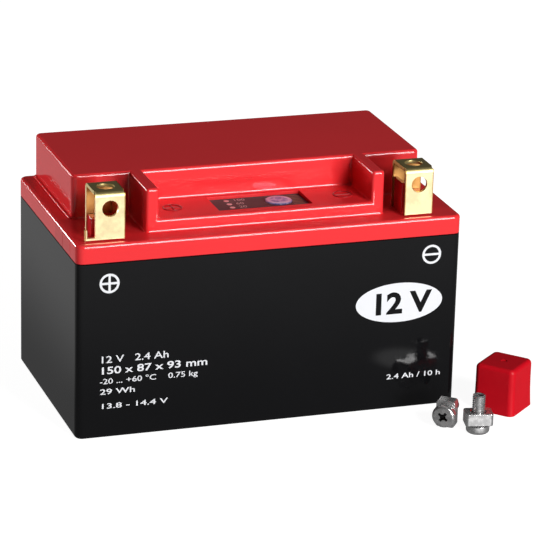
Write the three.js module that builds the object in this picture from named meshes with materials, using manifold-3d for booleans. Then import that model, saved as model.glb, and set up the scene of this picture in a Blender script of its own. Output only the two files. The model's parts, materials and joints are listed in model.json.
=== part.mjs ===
// A lithium motorcycle battery: a black case tub, a red lid with a raised block and a tray,
// two folded strip terminals, a charge indicator with a test button, the cell pack inside,
// and the loose terminal cap, screws and oblong nuts that come with it.
// Millimetres, +Z up. The origin is the centre of the case's bottom face.

import * as THREE from 'three';
import { mergeVertices } from 'three/addons/utils/BufferGeometryUtils.js';
import Module from 'manifold-3d';

const wasm = await Module();
wasm.setup();

// Overall sizes
const LENGTH = 150;
const DEPTH = 87;
const CASE_HEIGHT = 68.5;
const RIM_HEIGHT = 7.2;
const BLOCK_RISE = 17;
const CORNER_RADIUS = 3;
const GAP = 0.3;

// Case tub
const CASE_WALL = 2.2;
const CASE_FLOOR = 2.5;
const CASE_BOTTOM_EDGE = 1.4;

// Lid
const LID_WALL = 2.2;
const SKIRT_WALL = 1.8;
const SKIRT_DROP = 6.5;
const RIM_EDGE = 0.9;
const BLOCK_SIDE_INSET = 6.3;
const BLOCK_SETBACK = 31;
const BLOCK_CORNER = 2.2;
const BLOCK_EDGE = 1.3;
const PLINTH_WIDTH = 1.2;
const PLINTH_RISE = 0.6;
const ARM_INSET = 28.5;
const TRAY_SETBACK = 8.5;
const TRAY_RISE = 5;
const TRAY_EDGE = 0.9;
const TRAY_CORNER = 1.3;
const ARM_WIDTH = 5;
const ARM_EDGE = 1.0;

// Indicator window in the tray
const WINDOW_WIDTH = 36.8;
const WINDOW_DEPTH = 16.3;
const WINDOW_SHIFT = 1.3;
const WINDOW_BACK_MARGIN = 1.9;
const WINDOW_RECESS = 1.1;
const WINDOW_SHELF = 1.4;
const LABEL_THICKNESS = 0.3;
const BUTTON_DIAMETER = 10.2;
const BUTTON_RISE = 0.5;
const BUTTON_TRAVEL = 0.5;
const BUTTON_CENTRE_FROM_RIGHT = 10.4;
const BUTTON_CENTRE_FROM_BACK = 6.8;
const LED_DIAMETER = 3;
const LED_PITCH = 4;
const LED_FROM_LEFT = 7;

// Circuit board under the tray
const BOARD_THICKNESS = 1.6;
const BOARD_SIDE_MARGIN = 7;
const BOARD_DROP = 3.6;
const BOSS_DIAMETER = 5.2;
const BOARD_SCREW_DIAMETER = 2.4;
const SWITCH_SIZE = 6;
const SWITCH_STEM_DIAMETER = 3;
const PLUG_HEIGHT = 3;

// Folded strip terminals
const TERMINAL_WIDTH = 11.2;
const TERMINAL_DEPTH = 14.3;
const TERMINAL_STRIP = 1.3;
const TERMINAL_ABOVE_BLOCK = 1.6;
const TERMINAL_SETBACK = 3.5;
const TERMINAL_BEND = 1.9;
const TERMINAL_FOOT_LENGTH = 3.9;
const TERMINAL_FOOT_HEIGHT = 4;
const POSITIVE_INSET = 7.9;
const NEGATIVE_INSET = 10.9;
const FRONT_HOLE_DIAMETER = 6.2;
const FRONT_HOLE_BELOW_TOP = 6.3;
const TOP_HOLE_DIAMETER = 6.8;
const POST_HEIGHT = 6.6;
const POST_SETBACK = 2.7;
const STOP_WALL_HEIGHT = 11.9;
const STOP_WALL = 1.4;
const SEAL_BORDER = 2;
const SEAL_THICKNESS = 1.5;

// Cell pack
const CELL_COUNT = 4;
const CELL_THICKNESS = 7.2;
const CELL_EDGE = 1.2;
const CELL_SEAL_HEIGHT = 4.5;
const CELL_SEAL_THICKNESS = 0.8;
const CELL_PAD = 1.5;
const END_FOAM = 16;
const BOTTOM_PAD = 3;
const TAB_WIDTH = 10;
const TAB_THICKNESS = 0.5;
const TAB_HEIGHT = 7.4;
const TAB_INSET = 21;
const FRAME_THICKNESS = 2;
const BUSBAR_THICKNESS = 1;
const BUSBAR_BELOW_RIM = 5.2;
const FOAM_BELOW_BUSBAR = 2;
const WIRE_DIAMETER = 1.2;
const WIRE_PITCH = 3;

// Loose terminal hardware and cap
const NUT_CLEARANCE = 1.1;
const NUT_SIDE = 7.4;
const NUT_THICKNESS = 4.8;
const NUT_CORNER = 1.2;
const THREAD_DIAMETER = 4.9;
const THREAD_LENGTH = 11.8;
const HEAD_DIAMETER = 8.9;
const HEAD_HEIGHT = 3.2;
const RECESS_WIDTH = 1.3;
const RECESS_SPAN = 5;
const RECESS_DEPTH = 1.9;
const CAP_WALL = 1.2;
const CAP_CLEARANCE = 0.4;
const CAP_SIDE_CLEARANCE = 1.5;
const CAP_EDGE = 1.4;
const CAP_CORNER = 2;
const CAP_FLARE = 0.4;

// Places worked out from the sizes above
const LEFT = -LENGTH / 2;
const RIGHT = LENGTH / 2;
const FRONT = -DEPTH / 2;
const BACK = DEPTH / 2;
const RIM_BOTTOM = CASE_HEIGHT + GAP;
const RIM_TOP = RIM_BOTTOM + RIM_HEIGHT;
const BLOCK_TOP = RIM_TOP + BLOCK_RISE;
const BLOCK_LEFT = LEFT + BLOCK_SIDE_INSET;
const BLOCK_RIGHT = RIGHT - BLOCK_SIDE_INSET;
const BLOCK_FRONT = FRONT + BLOCK_SETBACK;
const TRAY_LEFT = LEFT + ARM_INSET + ARM_WIDTH;
const TRAY_RIGHT = RIGHT - ARM_INSET - ARM_WIDTH;
const TRAY_FRONT = FRONT + TRAY_SETBACK;
const TRAY_TOP = RIM_TOP + TRAY_RISE;
const INNER_LEFT = LEFT + CASE_WALL;
const INNER_RIGHT = RIGHT - CASE_WALL;
const INNER_FRONT = FRONT + CASE_WALL;
const INNER_BACK = BACK - CASE_WALL;
const WINDOW_LEFT = WINDOW_SHIFT - WINDOW_WIDTH / 2;
const WINDOW_RIGHT = WINDOW_SHIFT + WINDOW_WIDTH / 2;
const WINDOW_BACK = BLOCK_FRONT - WINDOW_BACK_MARGIN;
const WINDOW_FRONT = WINDOW_BACK - WINDOW_DEPTH;
const LABEL_TOP = TRAY_TOP - WINDOW_RECESS;
const LABEL_BOTTOM = LABEL_TOP - LABEL_THICKNESS;
const SHELF_TOP = LABEL_BOTTOM - GAP;
const BUTTON_X = WINDOW_RIGHT - BUTTON_CENTRE_FROM_RIGHT;
const BUTTON_Y = WINDOW_BACK - BUTTON_CENTRE_FROM_BACK;
const TRAY_UNDERSIDE = TRAY_TOP - LID_WALL;
const BOARD_TOP = TRAY_UNDERSIDE - BOARD_DROP;
const BOARD_BOTTOM = BOARD_TOP - BOARD_THICKNESS;
const BOARD_LEFT = WINDOW_LEFT - BOARD_SIDE_MARGIN;
const BOARD_RIGHT = WINDOW_RIGHT + BOARD_SIDE_MARGIN;
const TERMINAL_FRONT = FRONT + TERMINAL_SETBACK;
const TERMINAL_BACK = TERMINAL_FRONT + TERMINAL_DEPTH;
const TERMINAL_TOP = BLOCK_TOP + TERMINAL_ABOVE_BLOCK;
const POSITIVE_X = LEFT + POSITIVE_INSET + TERMINAL_WIDTH / 2;
const NEGATIVE_X = RIGHT - NEGATIVE_INSET - TERMINAL_WIDTH / 2;
const BUSBAR_TOP = CASE_HEIGHT - BUSBAR_BELOW_RIM;
const BUSBAR_BOTTOM = BUSBAR_TOP - BUSBAR_THICKNESS;
const TAB_TOP = BUSBAR_BOTTOM - GAP;
const CELL_SEAL_TOP = TAB_TOP - TAB_HEIGHT;
const CELL_TOP = CELL_SEAL_TOP - CELL_SEAL_HEIGHT;
const PAD_TOP = CASE_FLOOR + GAP + BOTTOM_PAD;
const CELL_BOTTOM = PAD_TOP + GAP;
const FOAM_TOP = BUSBAR_BOTTOM - FOAM_BELOW_BUSBAR;
const CELL_PITCH = CELL_THICKNESS + CELL_PAD + 2 * GAP;
const PACK_HALF_DEPTH = ((CELL_COUNT - 1) * CELL_PITCH + CELL_THICKNESS) / 2;
const CELL_HALF_LENGTH = INNER_RIGHT - 2 * GAP - END_FOAM;
const TAB_X = CELL_HALF_LENGTH - TAB_INSET;

// The oblong nut slides between the terminal's plates, and the cap goes over the terminal.
const NUT_WIDTH = TERMINAL_DEPTH - 2 * TERMINAL_STRIP - NUT_CLEARANCE;
const CAP_LENGTH = TERMINAL_DEPTH + 2 * (CAP_CLEARANCE + CAP_WALL);
const CAP_WIDTH = TERMINAL_WIDTH + 2 * (CAP_SIDE_CLEARANCE + CAP_WALL);
const CAP_HEIGHT = TERMINAL_TOP - RIM_TOP;

// Where the loose pieces stand, beside the case's front right corner
const CAP_PLACE = { x: RIGHT + 16.8, y: FRONT - 8.1, turn: 42 };
const UPRIGHT_SCREW_PLACE = { x: RIGHT - 2, y: FRONT - 29.8, turn: -12 };
const LOOSE_SPACING = NUT_WIDTH + 0.3 * NUT_SIDE;
const LOOSE_BEARING = THREE.MathUtils.degToRad(134.6);
const FLAT_SCREW_PLACE = {
  x: UPRIGHT_SCREW_PLACE.x + LOOSE_SPACING * Math.cos(LOOSE_BEARING),
  y: UPRIGHT_SCREW_PLACE.y + LOOSE_SPACING * Math.sin(LOOSE_BEARING),
  turn: -37,
};

const ROUND = 24;
const QUARTER = 4;

function solidFrom(geometry) {
  const bare = geometry.clone();
  bare.deleteAttribute('normal');
  bare.deleteAttribute('uv');
  const welded = mergeVertices(bare, 1e-4);
  const mesh = new wasm.Mesh({
    numProp: 3,
    vertProperties: new Float32Array(welded.attributes.position.array),
    triVerts: new Uint32Array(welded.index.array),
  });
  return new wasm.Manifold(mesh);
}

function geometryFrom(solid) {
  const mesh = solid.getMesh();
  const geometry = new THREE.BufferGeometry();
  geometry.setAttribute('position', new THREE.BufferAttribute(new Float32Array(mesh.vertProperties), 3));
  geometry.setIndex(new THREE.BufferAttribute(new Uint32Array(mesh.triVerts), 1));
  geometry.computeVertexNormals();
  return geometry;
}

function joined(solids) {
  return solids.reduce((whole, piece) => whole.add(piece));
}

function cut(solid, holes) {
  return holes.reduce((rest, hole) => rest.subtract(hole), solid);
}

// A plain block between two corners
function block(x, y, z) {
  const geometry = new THREE.BoxGeometry(x[1] - x[0], y[1] - y[0], z[1] - z[0]);
  geometry.translate((x[0] + x[1]) / 2, (y[0] + y[1]) / 2, (z[0] + z[1]) / 2);
  return solidFrom(geometry);
}

function roundedOutline(x, y, radius) {
  const outline = new THREE.Shape();
  const quarter = Math.PI / 2;
  outline.absarc(x[1] - radius, y[0] + radius, radius, -quarter, 0);
  outline.absarc(x[1] - radius, y[1] - radius, radius, 0, quarter);
  outline.absarc(x[0] + radius, y[1] - radius, radius, quarter, 2 * quarter);
  outline.absarc(x[0] + radius, y[0] + radius, radius, 2 * quarter, 3 * quarter);
  return outline;
}

// A block with rounded upright corners and, when edge is above 0, rounded top and bottom edges
function roundedBlock(x, y, z, radius, edge = 0) {
  const geometry = new THREE.ExtrudeGeometry(roundedOutline(x, y, radius), {
    depth: z[1] - z[0] - 2 * edge,
    curveSegments: QUARTER,
    bevelEnabled: edge > 0,
    bevelThickness: edge,
    bevelSize: edge,
    bevelOffset: -edge,
    bevelSegments: 2,
  });
  geometry.translate(0, 0, z[0] + edge);
  return solidFrom(geometry);
}

// A round bar along Z
function bar(radius, x, y, z, sides = ROUND) {
  const geometry = new THREE.CylinderGeometry(radius, radius, z[1] - z[0], sides);
  geometry.rotateX(Math.PI / 2);
  geometry.translate(x, y, (z[0] + z[1]) / 2);
  return solidFrom(geometry);
}

// A round bar along Y
function crossBar(radius, x, z, y) {
  const geometry = new THREE.CylinderGeometry(radius, radius, y[1] - y[0], ROUND);
  geometry.translate(x, (y[0] + y[1]) / 2, z);
  return solidFrom(geometry);
}

// An outline in the YZ plane, extruded along X
function profileAlongX(outline, x) {
  const geometry = new THREE.ExtrudeGeometry(outline, {
    depth: x[1] - x[0],
    curveSegments: QUARTER,
    bevelEnabled: false,
  });
  const toYZ = new THREE.Matrix4().set(0, 0, 1, x[0], 1, 0, 0, 0, 0, 1, 0, 0, 0, 0, 0, 1);
  geometry.applyMatrix4(toYZ);
  return solidFrom(geometry);
}

// A body turned about Z from points of [radius, height]
function turned(points, sides = ROUND) {
  const geometry = new THREE.LatheGeometry(points.map(([r, h]) => new THREE.Vector2(r, h)), sides);
  geometry.rotateX(Math.PI / 2);
  return solidFrom(geometry);
}

function caseTub() {
  const beyond = CASE_HEIGHT + 2 * CASE_BOTTOM_EDGE;
  const outside = roundedBlock([LEFT, RIGHT], [FRONT, BACK], [0, beyond], CORNER_RADIUS, CASE_BOTTOM_EDGE);
  const above = block([LEFT - 1, RIGHT + 1], [FRONT - 1, BACK + 1], [CASE_HEIGHT, beyond + 1]);
  const inside = roundedBlock([INNER_LEFT, INNER_RIGHT], [INNER_FRONT, INNER_BACK],
    [CASE_FLOOR, beyond], Math.max(CORNER_RADIUS - CASE_WALL, 0.5));
  return cut(outside, [above, inside]);
}

function tongueSlot(x) {
  const half = TERMINAL_WIDTH / 2 + GAP;
  return block([x - half, x + half],
    [TERMINAL_BACK - TERMINAL_STRIP - GAP, TERMINAL_BACK + GAP], [RIM_BOTTOM, RIM_TOP + PLINTH_RISE + 1]);
}

// The plastic post between a terminal's plates carries the nut; its stop wall is on the inner side.
function nutPost(x, inward) {
  const half = TERMINAL_WIDTH / 2 - GAP;
  const y = [TERMINAL_FRONT + TERMINAL_STRIP + POST_SETBACK, TERMINAL_BACK - TERMINAL_STRIP - GAP];
  const foot = RIM_TOP - LID_WALL;
  const post = block([x - half, x + half], y, [foot, RIM_TOP + POST_HEIGHT]);
  const wallEdge = x + inward * half;
  const wallX = [wallEdge, wallEdge - inward * STOP_WALL].sort((a, b) => a - b);
  return post.add(block(wallX, y, [foot, RIM_TOP + STOP_WALL_HEIGHT]));
}

function boardBosses() {
  return [BOARD_LEFT, BOARD_RIGHT].map((edge, side) => {
    const x = edge + (side === 0 ? 1 : -1) * BOSS_DIAMETER / 2;
    const y = (WINDOW_FRONT + WINDOW_BACK) / 2;
    return { x, y };
  });
}

function lid() {
  const skirtBottom = CASE_HEIGHT - SKIRT_DROP;
  const skirt = {
    x: [INNER_LEFT + GAP, INNER_RIGHT - GAP],
    y: [INNER_FRONT + GAP, INNER_BACK - GAP],
  };
  const low = RIM_BOTTOM - 2 * RIM_EDGE;
  const rim = cut(roundedBlock([LEFT, RIGHT], [FRONT, BACK], [low, RIM_TOP], CORNER_RADIUS, RIM_EDGE),
    [block([LEFT - 1, RIGHT + 1], [FRONT - 1, BACK + 1], [low - 1, RIM_BOTTOM])]);
  const skirtBody = roundedBlock(skirt.x, skirt.y, [skirtBottom, RIM_TOP - RIM_EDGE], 0.6);
  const plinth = roundedBlock([BLOCK_LEFT - PLINTH_WIDTH, BLOCK_RIGHT + PLINTH_WIDTH],
    [BLOCK_FRONT, BACK - RIM_EDGE], [RIM_BOTTOM, RIM_TOP + PLINTH_RISE], BLOCK_CORNER);
  const raised = roundedBlock([BLOCK_LEFT, BLOCK_RIGHT], [BLOCK_FRONT, BACK],
    [RIM_BOTTOM, BLOCK_TOP], BLOCK_CORNER, BLOCK_EDGE);
  const tray = roundedBlock([TRAY_LEFT - ARM_WIDTH, TRAY_RIGHT + ARM_WIDTH],
    [TRAY_FRONT, BLOCK_FRONT + BLOCK_CORNER], [RIM_BOTTOM, TRAY_TOP], TRAY_CORNER, TRAY_EDGE);
  const arms = [TRAY_LEFT - ARM_WIDTH, TRAY_RIGHT].map((x) => roundedBlock([x, x + ARM_WIDTH],
    [TRAY_FRONT, BLOCK_FRONT + BLOCK_EDGE + 2], [RIM_BOTTOM, BLOCK_TOP], TRAY_CORNER, ARM_EDGE));
  const underRim = block([skirt.x[0] + SKIRT_WALL, skirt.x[1] - SKIRT_WALL],
    [skirt.y[0] + SKIRT_WALL, skirt.y[1] - SKIRT_WALL], [skirtBottom - 1, RIM_TOP - LID_WALL]);
  const underBlock = block([BLOCK_LEFT + LID_WALL, BLOCK_RIGHT - LID_WALL],
    [BLOCK_FRONT + LID_WALL, BACK - LID_WALL - CASE_WALL], [skirtBottom - 1, BLOCK_TOP - LID_WALL]);
  const underTray = block([TRAY_LEFT - ARM_WIDTH + LID_WALL, TRAY_RIGHT + ARM_WIDTH - LID_WALL],
    [TRAY_FRONT + LID_WALL, BLOCK_FRONT + LID_WALL + 1], [skirtBottom - 1, TRAY_UNDERSIDE]);
  const recess = block([WINDOW_LEFT, WINDOW_RIGHT], [WINDOW_FRONT, WINDOW_BACK], [SHELF_TOP, TRAY_TOP + 1]);
  const opening = block([WINDOW_LEFT + WINDOW_SHELF, WINDOW_RIGHT - WINDOW_SHELF],
    [WINDOW_FRONT + WINDOW_SHELF, WINDOW_BACK - WINDOW_SHELF], [TRAY_UNDERSIDE - 1, SHELF_TOP + 1]);
  const posts = [nutPost(POSITIVE_X, 1), nutPost(NEGATIVE_X, -1)];
  const bosses = boardBosses().map(({ x, y }) =>
    bar(BOSS_DIAMETER / 2, x, y, [BOARD_TOP + GAP, TRAY_UNDERSIDE + LID_WALL / 2], 16));
  const bossHoles = boardBosses().map(({ x, y }) =>
    bar(BOARD_SCREW_DIAMETER / 2 + GAP, x, y, [BOARD_TOP, TRAY_UNDERSIDE], 12));
  const shell = cut(joined([rim, skirtBody, plinth, raised, tray, ...arms]), [underRim, underBlock, underTray]);
  const fitted = joined([shell, ...posts, ...bosses]);
  return cut(fitted, [recess, opening, tongueSlot(POSITIVE_X), tongueSlot(NEGATIVE_X), ...bossHoles]);
}

// One strip folded into an inverted U; its back leg runs down through the lid as a tongue.
function terminal(x, withFoot) {
  const outerBend = TERMINAL_BEND;
  const innerBend = TERMINAL_BEND - TERMINAL_STRIP;
  const front = { out: TERMINAL_FRONT, in: TERMINAL_FRONT + TERMINAL_STRIP };
  const back = { out: TERMINAL_BACK, in: TERMINAL_BACK - TERMINAL_STRIP };
  const top = { out: TERMINAL_TOP, in: TERMINAL_TOP - TERMINAL_STRIP };
  const bottom = RIM_TOP + 2 * GAP;
  const tongueBottom = BUSBAR_TOP + GAP;
  const quarter = Math.PI / 2;
  const outline = new THREE.Shape();
  outline.moveTo(front.in, bottom);
  outline.lineTo(front.out, bottom);
  outline.absarc(front.out + outerBend, top.out - outerBend, outerBend, 2 * quarter, quarter, true);
  outline.absarc(back.out - outerBend, top.out - outerBend, outerBend, quarter, 0, true);
  outline.lineTo(back.out, tongueBottom);
  outline.lineTo(back.in, tongueBottom);
  outline.absarc(back.in - innerBend, top.in - innerBend, innerBend, 0, quarter);
  outline.absarc(front.in + innerBend, top.in - innerBend, innerBend, quarter, 2 * quarter);
  const half = TERMINAL_WIDTH / 2;
  const holes = [
    crossBar(FRONT_HOLE_DIAMETER / 2, x, TERMINAL_TOP - FRONT_HOLE_BELOW_TOP, [front.out - 1, front.in + 1]),
    bar(TOP_HOLE_DIAMETER / 2, x, (front.out + back.out) / 2, [top.in - 1, top.out + 1]),
  ];
  let strip = cut(profileAlongX(outline, [x - half, x + half]), holes);
  if (withFoot) {
    const footEnd = x - half - TERMINAL_FOOT_LENGTH;
    const footY = [front.out, front.in];
    strip = strip.add(block([footEnd, x - half + 1], footY, [bottom, bottom + TERMINAL_STRIP / 2]));
    strip = strip.add(block([footEnd, footEnd + TERMINAL_STRIP / 2], footY, [bottom, bottom + TERMINAL_FOOT_HEIGHT]));
  }
  return strip;
}

// The gasket round a terminal's tongue, under the lid
function terminalSeal(x) {
  const half = TERMINAL_WIDTH / 2 + GAP;
  const y = [TERMINAL_BACK - TERMINAL_STRIP - GAP, TERMINAL_BACK + GAP];
  const top = RIM_TOP - LID_WALL - GAP;
  const z = [top - SEAL_THICKNESS, top];
  const body = block([x - half - SEAL_BORDER, x + half + SEAL_BORDER],
    [y[0] - SEAL_BORDER, y[1] + SEAL_BORDER], z);
  return cut(body, [block([x - half, x + half], y, [z[0] - 1, z[1] + 1])]);
}

function indicatorLabel() {
  const sheet = block([WINDOW_LEFT + GAP, WINDOW_RIGHT - GAP], [WINDOW_FRONT + GAP, WINDOW_BACK - GAP],
    [LABEL_BOTTOM, LABEL_TOP]);
  const hole = bar(BUTTON_DIAMETER / 2 + GAP, BUTTON_X, BUTTON_Y, [LABEL_BOTTOM - 1, LABEL_TOP + 1], 32);
  return cut(sheet, [hole]);
}

// A domed button with a stem that reaches into the switch
function testButton() {
  const radius = BUTTON_DIAMETER / 2;
  const stem = SWITCH_STEM_DIAMETER / 2;
  const top = LABEL_TOP + BUTTON_RISE;
  const underside = LABEL_TOP - GAP;
  const stemBottom = BOARD_TOP + 2.4;
  const dome = turned([[0, stemBottom], [stem, stemBottom], [stem, underside], [radius, underside],
    [radius, LABEL_TOP + BUTTON_RISE / 3], [radius * 0.9, LABEL_TOP + BUTTON_RISE * 0.8],
    [radius * 0.6, top], [0, top]], 32);
  return dome.translate([BUTTON_X, BUTTON_Y, 0]);
}

function switchHousing() {
  const half = SWITCH_SIZE / 2;
  const top = LABEL_TOP - GAP - BUTTON_TRAVEL - 0.2;
  const body = roundedBlock([BUTTON_X - half, BUTTON_X + half], [BUTTON_Y - half, BUTTON_Y + half],
    [BOARD_TOP + GAP, top], 0.6);
  return cut(body, [bar(SWITCH_STEM_DIAMETER / 2 + GAP, BUTTON_X, BUTTON_Y, [BOARD_TOP + 1.3, top + 1], 16)]);
}

function led(index) {
  const radius = LED_DIAMETER / 2;
  const top = LABEL_BOTTOM - GAP;
  const bottom = BOARD_TOP + GAP;
  const lens = turned([[0, bottom], [radius, bottom], [radius, top - radius * 0.6],
    [radius * 0.7, top - radius * 0.2], [0, top]], 12);
  return lens.translate([WINDOW_LEFT + LED_FROM_LEFT, BUTTON_Y + (1 - index) * LED_PITCH, 0]);
}

function circuitBoard() {
  const margin = WINDOW_SHELF;
  const body = roundedBlock([BOARD_LEFT, BOARD_RIGHT], [WINDOW_FRONT - margin, WINDOW_BACK + margin],
    [BOARD_BOTTOM, BOARD_TOP], 1);
  const holes = boardBosses().map(({ x, y }) =>
    bar(BOARD_SCREW_DIAMETER / 2 + GAP, x, y, [BOARD_BOTTOM - 1, BOARD_TOP + 1], 12));
  return cut(body, holes);
}

function boardScrew(index) {
  const { x, y } = boardBosses()[index];
  const radius = BOARD_SCREW_DIAMETER / 2;
  const headTop = BOARD_BOTTOM - GAP;
  const screw = turned([[0, headTop - 1.6], [radius * 1.4, headTop - 1.6], [radius * 1.9, headTop - 1],
    [radius * 1.9, headTop], [radius, headTop], [radius, BOARD_TOP + 2], [radius * 0.4, BOARD_TOP + 3],
    [0, BOARD_TOP + 3]], 12);
  return screw.translate([x, y, 0]);
}

function sensePlug() {
  const half = WIRE_PITCH * 2.7;
  return roundedBlock([-half, half], [WINDOW_FRONT + 1, WINDOW_FRONT + 7],
    [BOARD_BOTTOM - GAP - PLUG_HEIGHT, BOARD_BOTTOM - GAP], 0.6);
}

function cellPlace(index) {
  return (index - (CELL_COUNT - 1) / 2) * CELL_PITCH;
}

// A pouch cell: a soft-edged pack, the folded seal along its top, and its two tabs
function cell(index) {
  const y = cellPlace(index);
  const half = CELL_THICKNESS / 2;
  const pouch = roundedBlock([-CELL_HALF_LENGTH, CELL_HALF_LENGTH], [y - half, y + half],
    [CELL_BOTTOM, CELL_TOP], 2, CELL_EDGE);
  const seal = block([-CELL_HALF_LENGTH + 2, CELL_HALF_LENGTH - 2],
    [y - CELL_SEAL_THICKNESS / 2, y + CELL_SEAL_THICKNESS / 2], [CELL_TOP - 1, CELL_SEAL_TOP]);
  const tabs = [-1, 1].map((side) => block([side * TAB_X - TAB_WIDTH / 2, side * TAB_X + TAB_WIDTH / 2],
    [y - TAB_THICKNESS / 2, y + TAB_THICKNESS / 2], [CELL_SEAL_TOP - 1, TAB_TOP]));
  return joined([pouch, seal, ...tabs]);
}

function cellPad(index) {
  const y = (cellPlace(index) + cellPlace(index + 1)) / 2;
  return roundedBlock([-CELL_HALF_LENGTH + 3, CELL_HALF_LENGTH - 3], [y - CELL_PAD / 2, y + CELL_PAD / 2],
    [CELL_BOTTOM + 3, CELL_TOP - 3], 0.5);
}

function bottomPad() {
  return roundedBlock([INNER_LEFT + 4, INNER_RIGHT - 4], [INNER_FRONT + 4, INNER_BACK - 4],
    [CASE_FLOOR + GAP, PAD_TOP], 3);
}

function sideFoam(side) {
  const near = PACK_HALF_DEPTH + GAP;
  const far = INNER_BACK - GAP;
  const y = side > 0 ? [near, far] : [-far, -near];
  return roundedBlock([INNER_LEFT + GAP + END_FOAM / 2, INNER_RIGHT - GAP - END_FOAM / 2], y,
    [CELL_BOTTOM, FOAM_TOP], 1.5);
}

function endFoam(side) {
  const near = CELL_HALF_LENGTH + GAP;
  const far = INNER_RIGHT - GAP;
  const x = side > 0 ? [near, far] : [-far, -near];
  return roundedBlock(x, [-PACK_HALF_DEPTH, PACK_HALF_DEPTH], [CELL_BOTTOM, FOAM_TOP], 1.5);
}

// An insulating plate over the cells, with a slot for each tab
function tabFrame() {
  const z = [CELL_SEAL_TOP + GAP, CELL_SEAL_TOP + GAP + FRAME_THICKNESS];
  const plate = roundedBlock([-CELL_HALF_LENGTH + 2, CELL_HALF_LENGTH - 2],
    [-PACK_HALF_DEPTH + 1, PACK_HALF_DEPTH - 1], z, 2);
  const slots = [];
  for (let index = 0; index < CELL_COUNT; index += 1) {
    for (const side of [-1, 1]) {
      const half = TAB_WIDTH / 2 + GAP;
      const deep = TAB_THICKNESS / 2 + GAP;
      slots.push(block([side * TAB_X - half, side * TAB_X + half],
        [cellPlace(index) - deep, cellPlace(index) + deep], [z[0] - 1, z[1] + 1]));
    }
  }
  return cut(plate, slots);
}

// Links the facing tabs of two neighbouring cells; the links change sides from pair to pair.
function busbar(index) {
  const x = (index % 2 === 0 ? 1 : -1) * TAB_X;
  return roundedBlock([x - TAB_WIDTH / 2, x + TAB_WIDTH / 2], [cellPlace(index) - 2, cellPlace(index + 1) + 2],
    [BUSBAR_BOTTOM, BUSBAR_TOP], 1);
}

// A flat strip from a terminal's tongue to the first cell
function positiveLead() {
  const outer = cellPlace(0) - 2;
  const inner = cellPlace(0) + 2;
  const z = [BUSBAR_BOTTOM, BUSBAR_TOP];
  const half = TERMINAL_WIDTH / 2;
  const arm = block([POSITIVE_X - half, POSITIVE_X + half], [TERMINAL_BACK - 3, inner], z);
  return arm.add(block([POSITIVE_X - half, -TAB_X + TAB_WIDTH / 2], [outer, inner], z));
}

// A flat strip from the last cell across the pack to the other terminal's tongue
function negativeLead() {
  const outer = cellPlace(CELL_COUNT - 1) - 2;
  const inner = cellPlace(CELL_COUNT - 1) + 2;
  const half = TERMINAL_WIDTH / 2;
  const high = BUSBAR_TOP + GAP + BUSBAR_THICKNESS;
  const z = [BUSBAR_BOTTOM, high];
  const landing = block([-TAB_X - TAB_WIDTH / 2, -TAB_X + TAB_WIDTH / 2], [outer, inner], z);
  const across = block([-TAB_X - TAB_WIDTH / 2, NEGATIVE_X + half], [outer, inner], [BUSBAR_TOP + GAP, high]);
  const down = block([NEGATIVE_X - half, NEGATIVE_X + half], [outer, inner], z);
  const arm = block([NEGATIVE_X - half, NEGATIVE_X + half], [TERMINAL_BACK - 3, inner], [BUSBAR_BOTTOM, BUSBAR_TOP]);
  return joined([landing, across, down, arm]);
}

// Where each sense wire lands, in the order of the plug's pins from left to right
function senseTargets() {
  const between = (index) => (cellPlace(index) + cellPlace(index + 1)) / 2;
  const onBusbar = BUSBAR_TOP + GAP;
  const onLead = BUSBAR_TOP + BUSBAR_THICKNESS + 2 * GAP;
  return [
    new THREE.Vector3(-TAB_X, cellPlace(0), onBusbar),
    new THREE.Vector3(-TAB_X, between(1), onBusbar),
    new THREE.Vector3(-TAB_X, cellPlace(CELL_COUNT - 1), onLead),
    new THREE.Vector3(TAB_X, between(2), onBusbar),
    new THREE.Vector3(TAB_X, between(0), onBusbar),
  ];
}

function senseWire(index) {
  const target = senseTargets()[index];
  const start = new THREE.Vector3((index - 2) * WIRE_PITCH, WINDOW_FRONT + 4, BOARD_BOTTOM - 2 * GAP - PLUG_HEIGHT);
  const route = new THREE.CatmullRomCurve3([
    start,
    start.clone().add(new THREE.Vector3(0, 0.4, -1.6)),
    new THREE.Vector3().lerpVectors(start, target, 0.5).setZ(start.z - 2.2),
    target.clone().add(new THREE.Vector3(0, 0, 2)),
    target,
  ]);
  const section = new THREE.Shape();
  section.absarc(0, 0, WIRE_DIAMETER / 2, 0, 2 * Math.PI);
  const geometry = new THREE.ExtrudeGeometry(section, { steps: 16, curveSegments: 6, extrudePath: route });
  return solidFrom(geometry);
}

// An oblong nut flat on Z = 0, centred on its bore
function oblongNut() {
  const body = roundedBlock([-NUT_WIDTH / 2, NUT_WIDTH / 2], [-NUT_SIDE / 2, NUT_SIDE / 2], [0, NUT_THICKNESS],
    NUT_CORNER, 0.4);
  return cut(body, [bar(THREAD_DIAMETER / 2 + GAP, 0, 0, [-1, NUT_THICKNESS + 1])]);
}

// A pan head screw standing on its head, with a cross recess in the head's face
function panScrew() {
  const thread = THREAD_DIAMETER / 2;
  const head = HEAD_DIAMETER / 2;
  const end = HEAD_HEIGHT + THREAD_LENGTH;
  const body = turned([[0, 0], [head * 0.62, 0], [head * 0.88, HEAD_HEIGHT * 0.25], [head, HEAD_HEIGHT * 0.6],
    [head, HEAD_HEIGHT], [thread, HEAD_HEIGHT], [thread, end - 0.7], [thread - 0.6, end], [0, end]]);
  const slots = [[RECESS_SPAN, RECESS_WIDTH], [RECESS_WIDTH, RECESS_SPAN]].map(([wide, deep]) =>
    block([-wide / 2, wide / 2], [-deep / 2, deep / 2], [-1, RECESS_DEPTH]));
  return cut(body, slots);
}

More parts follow.
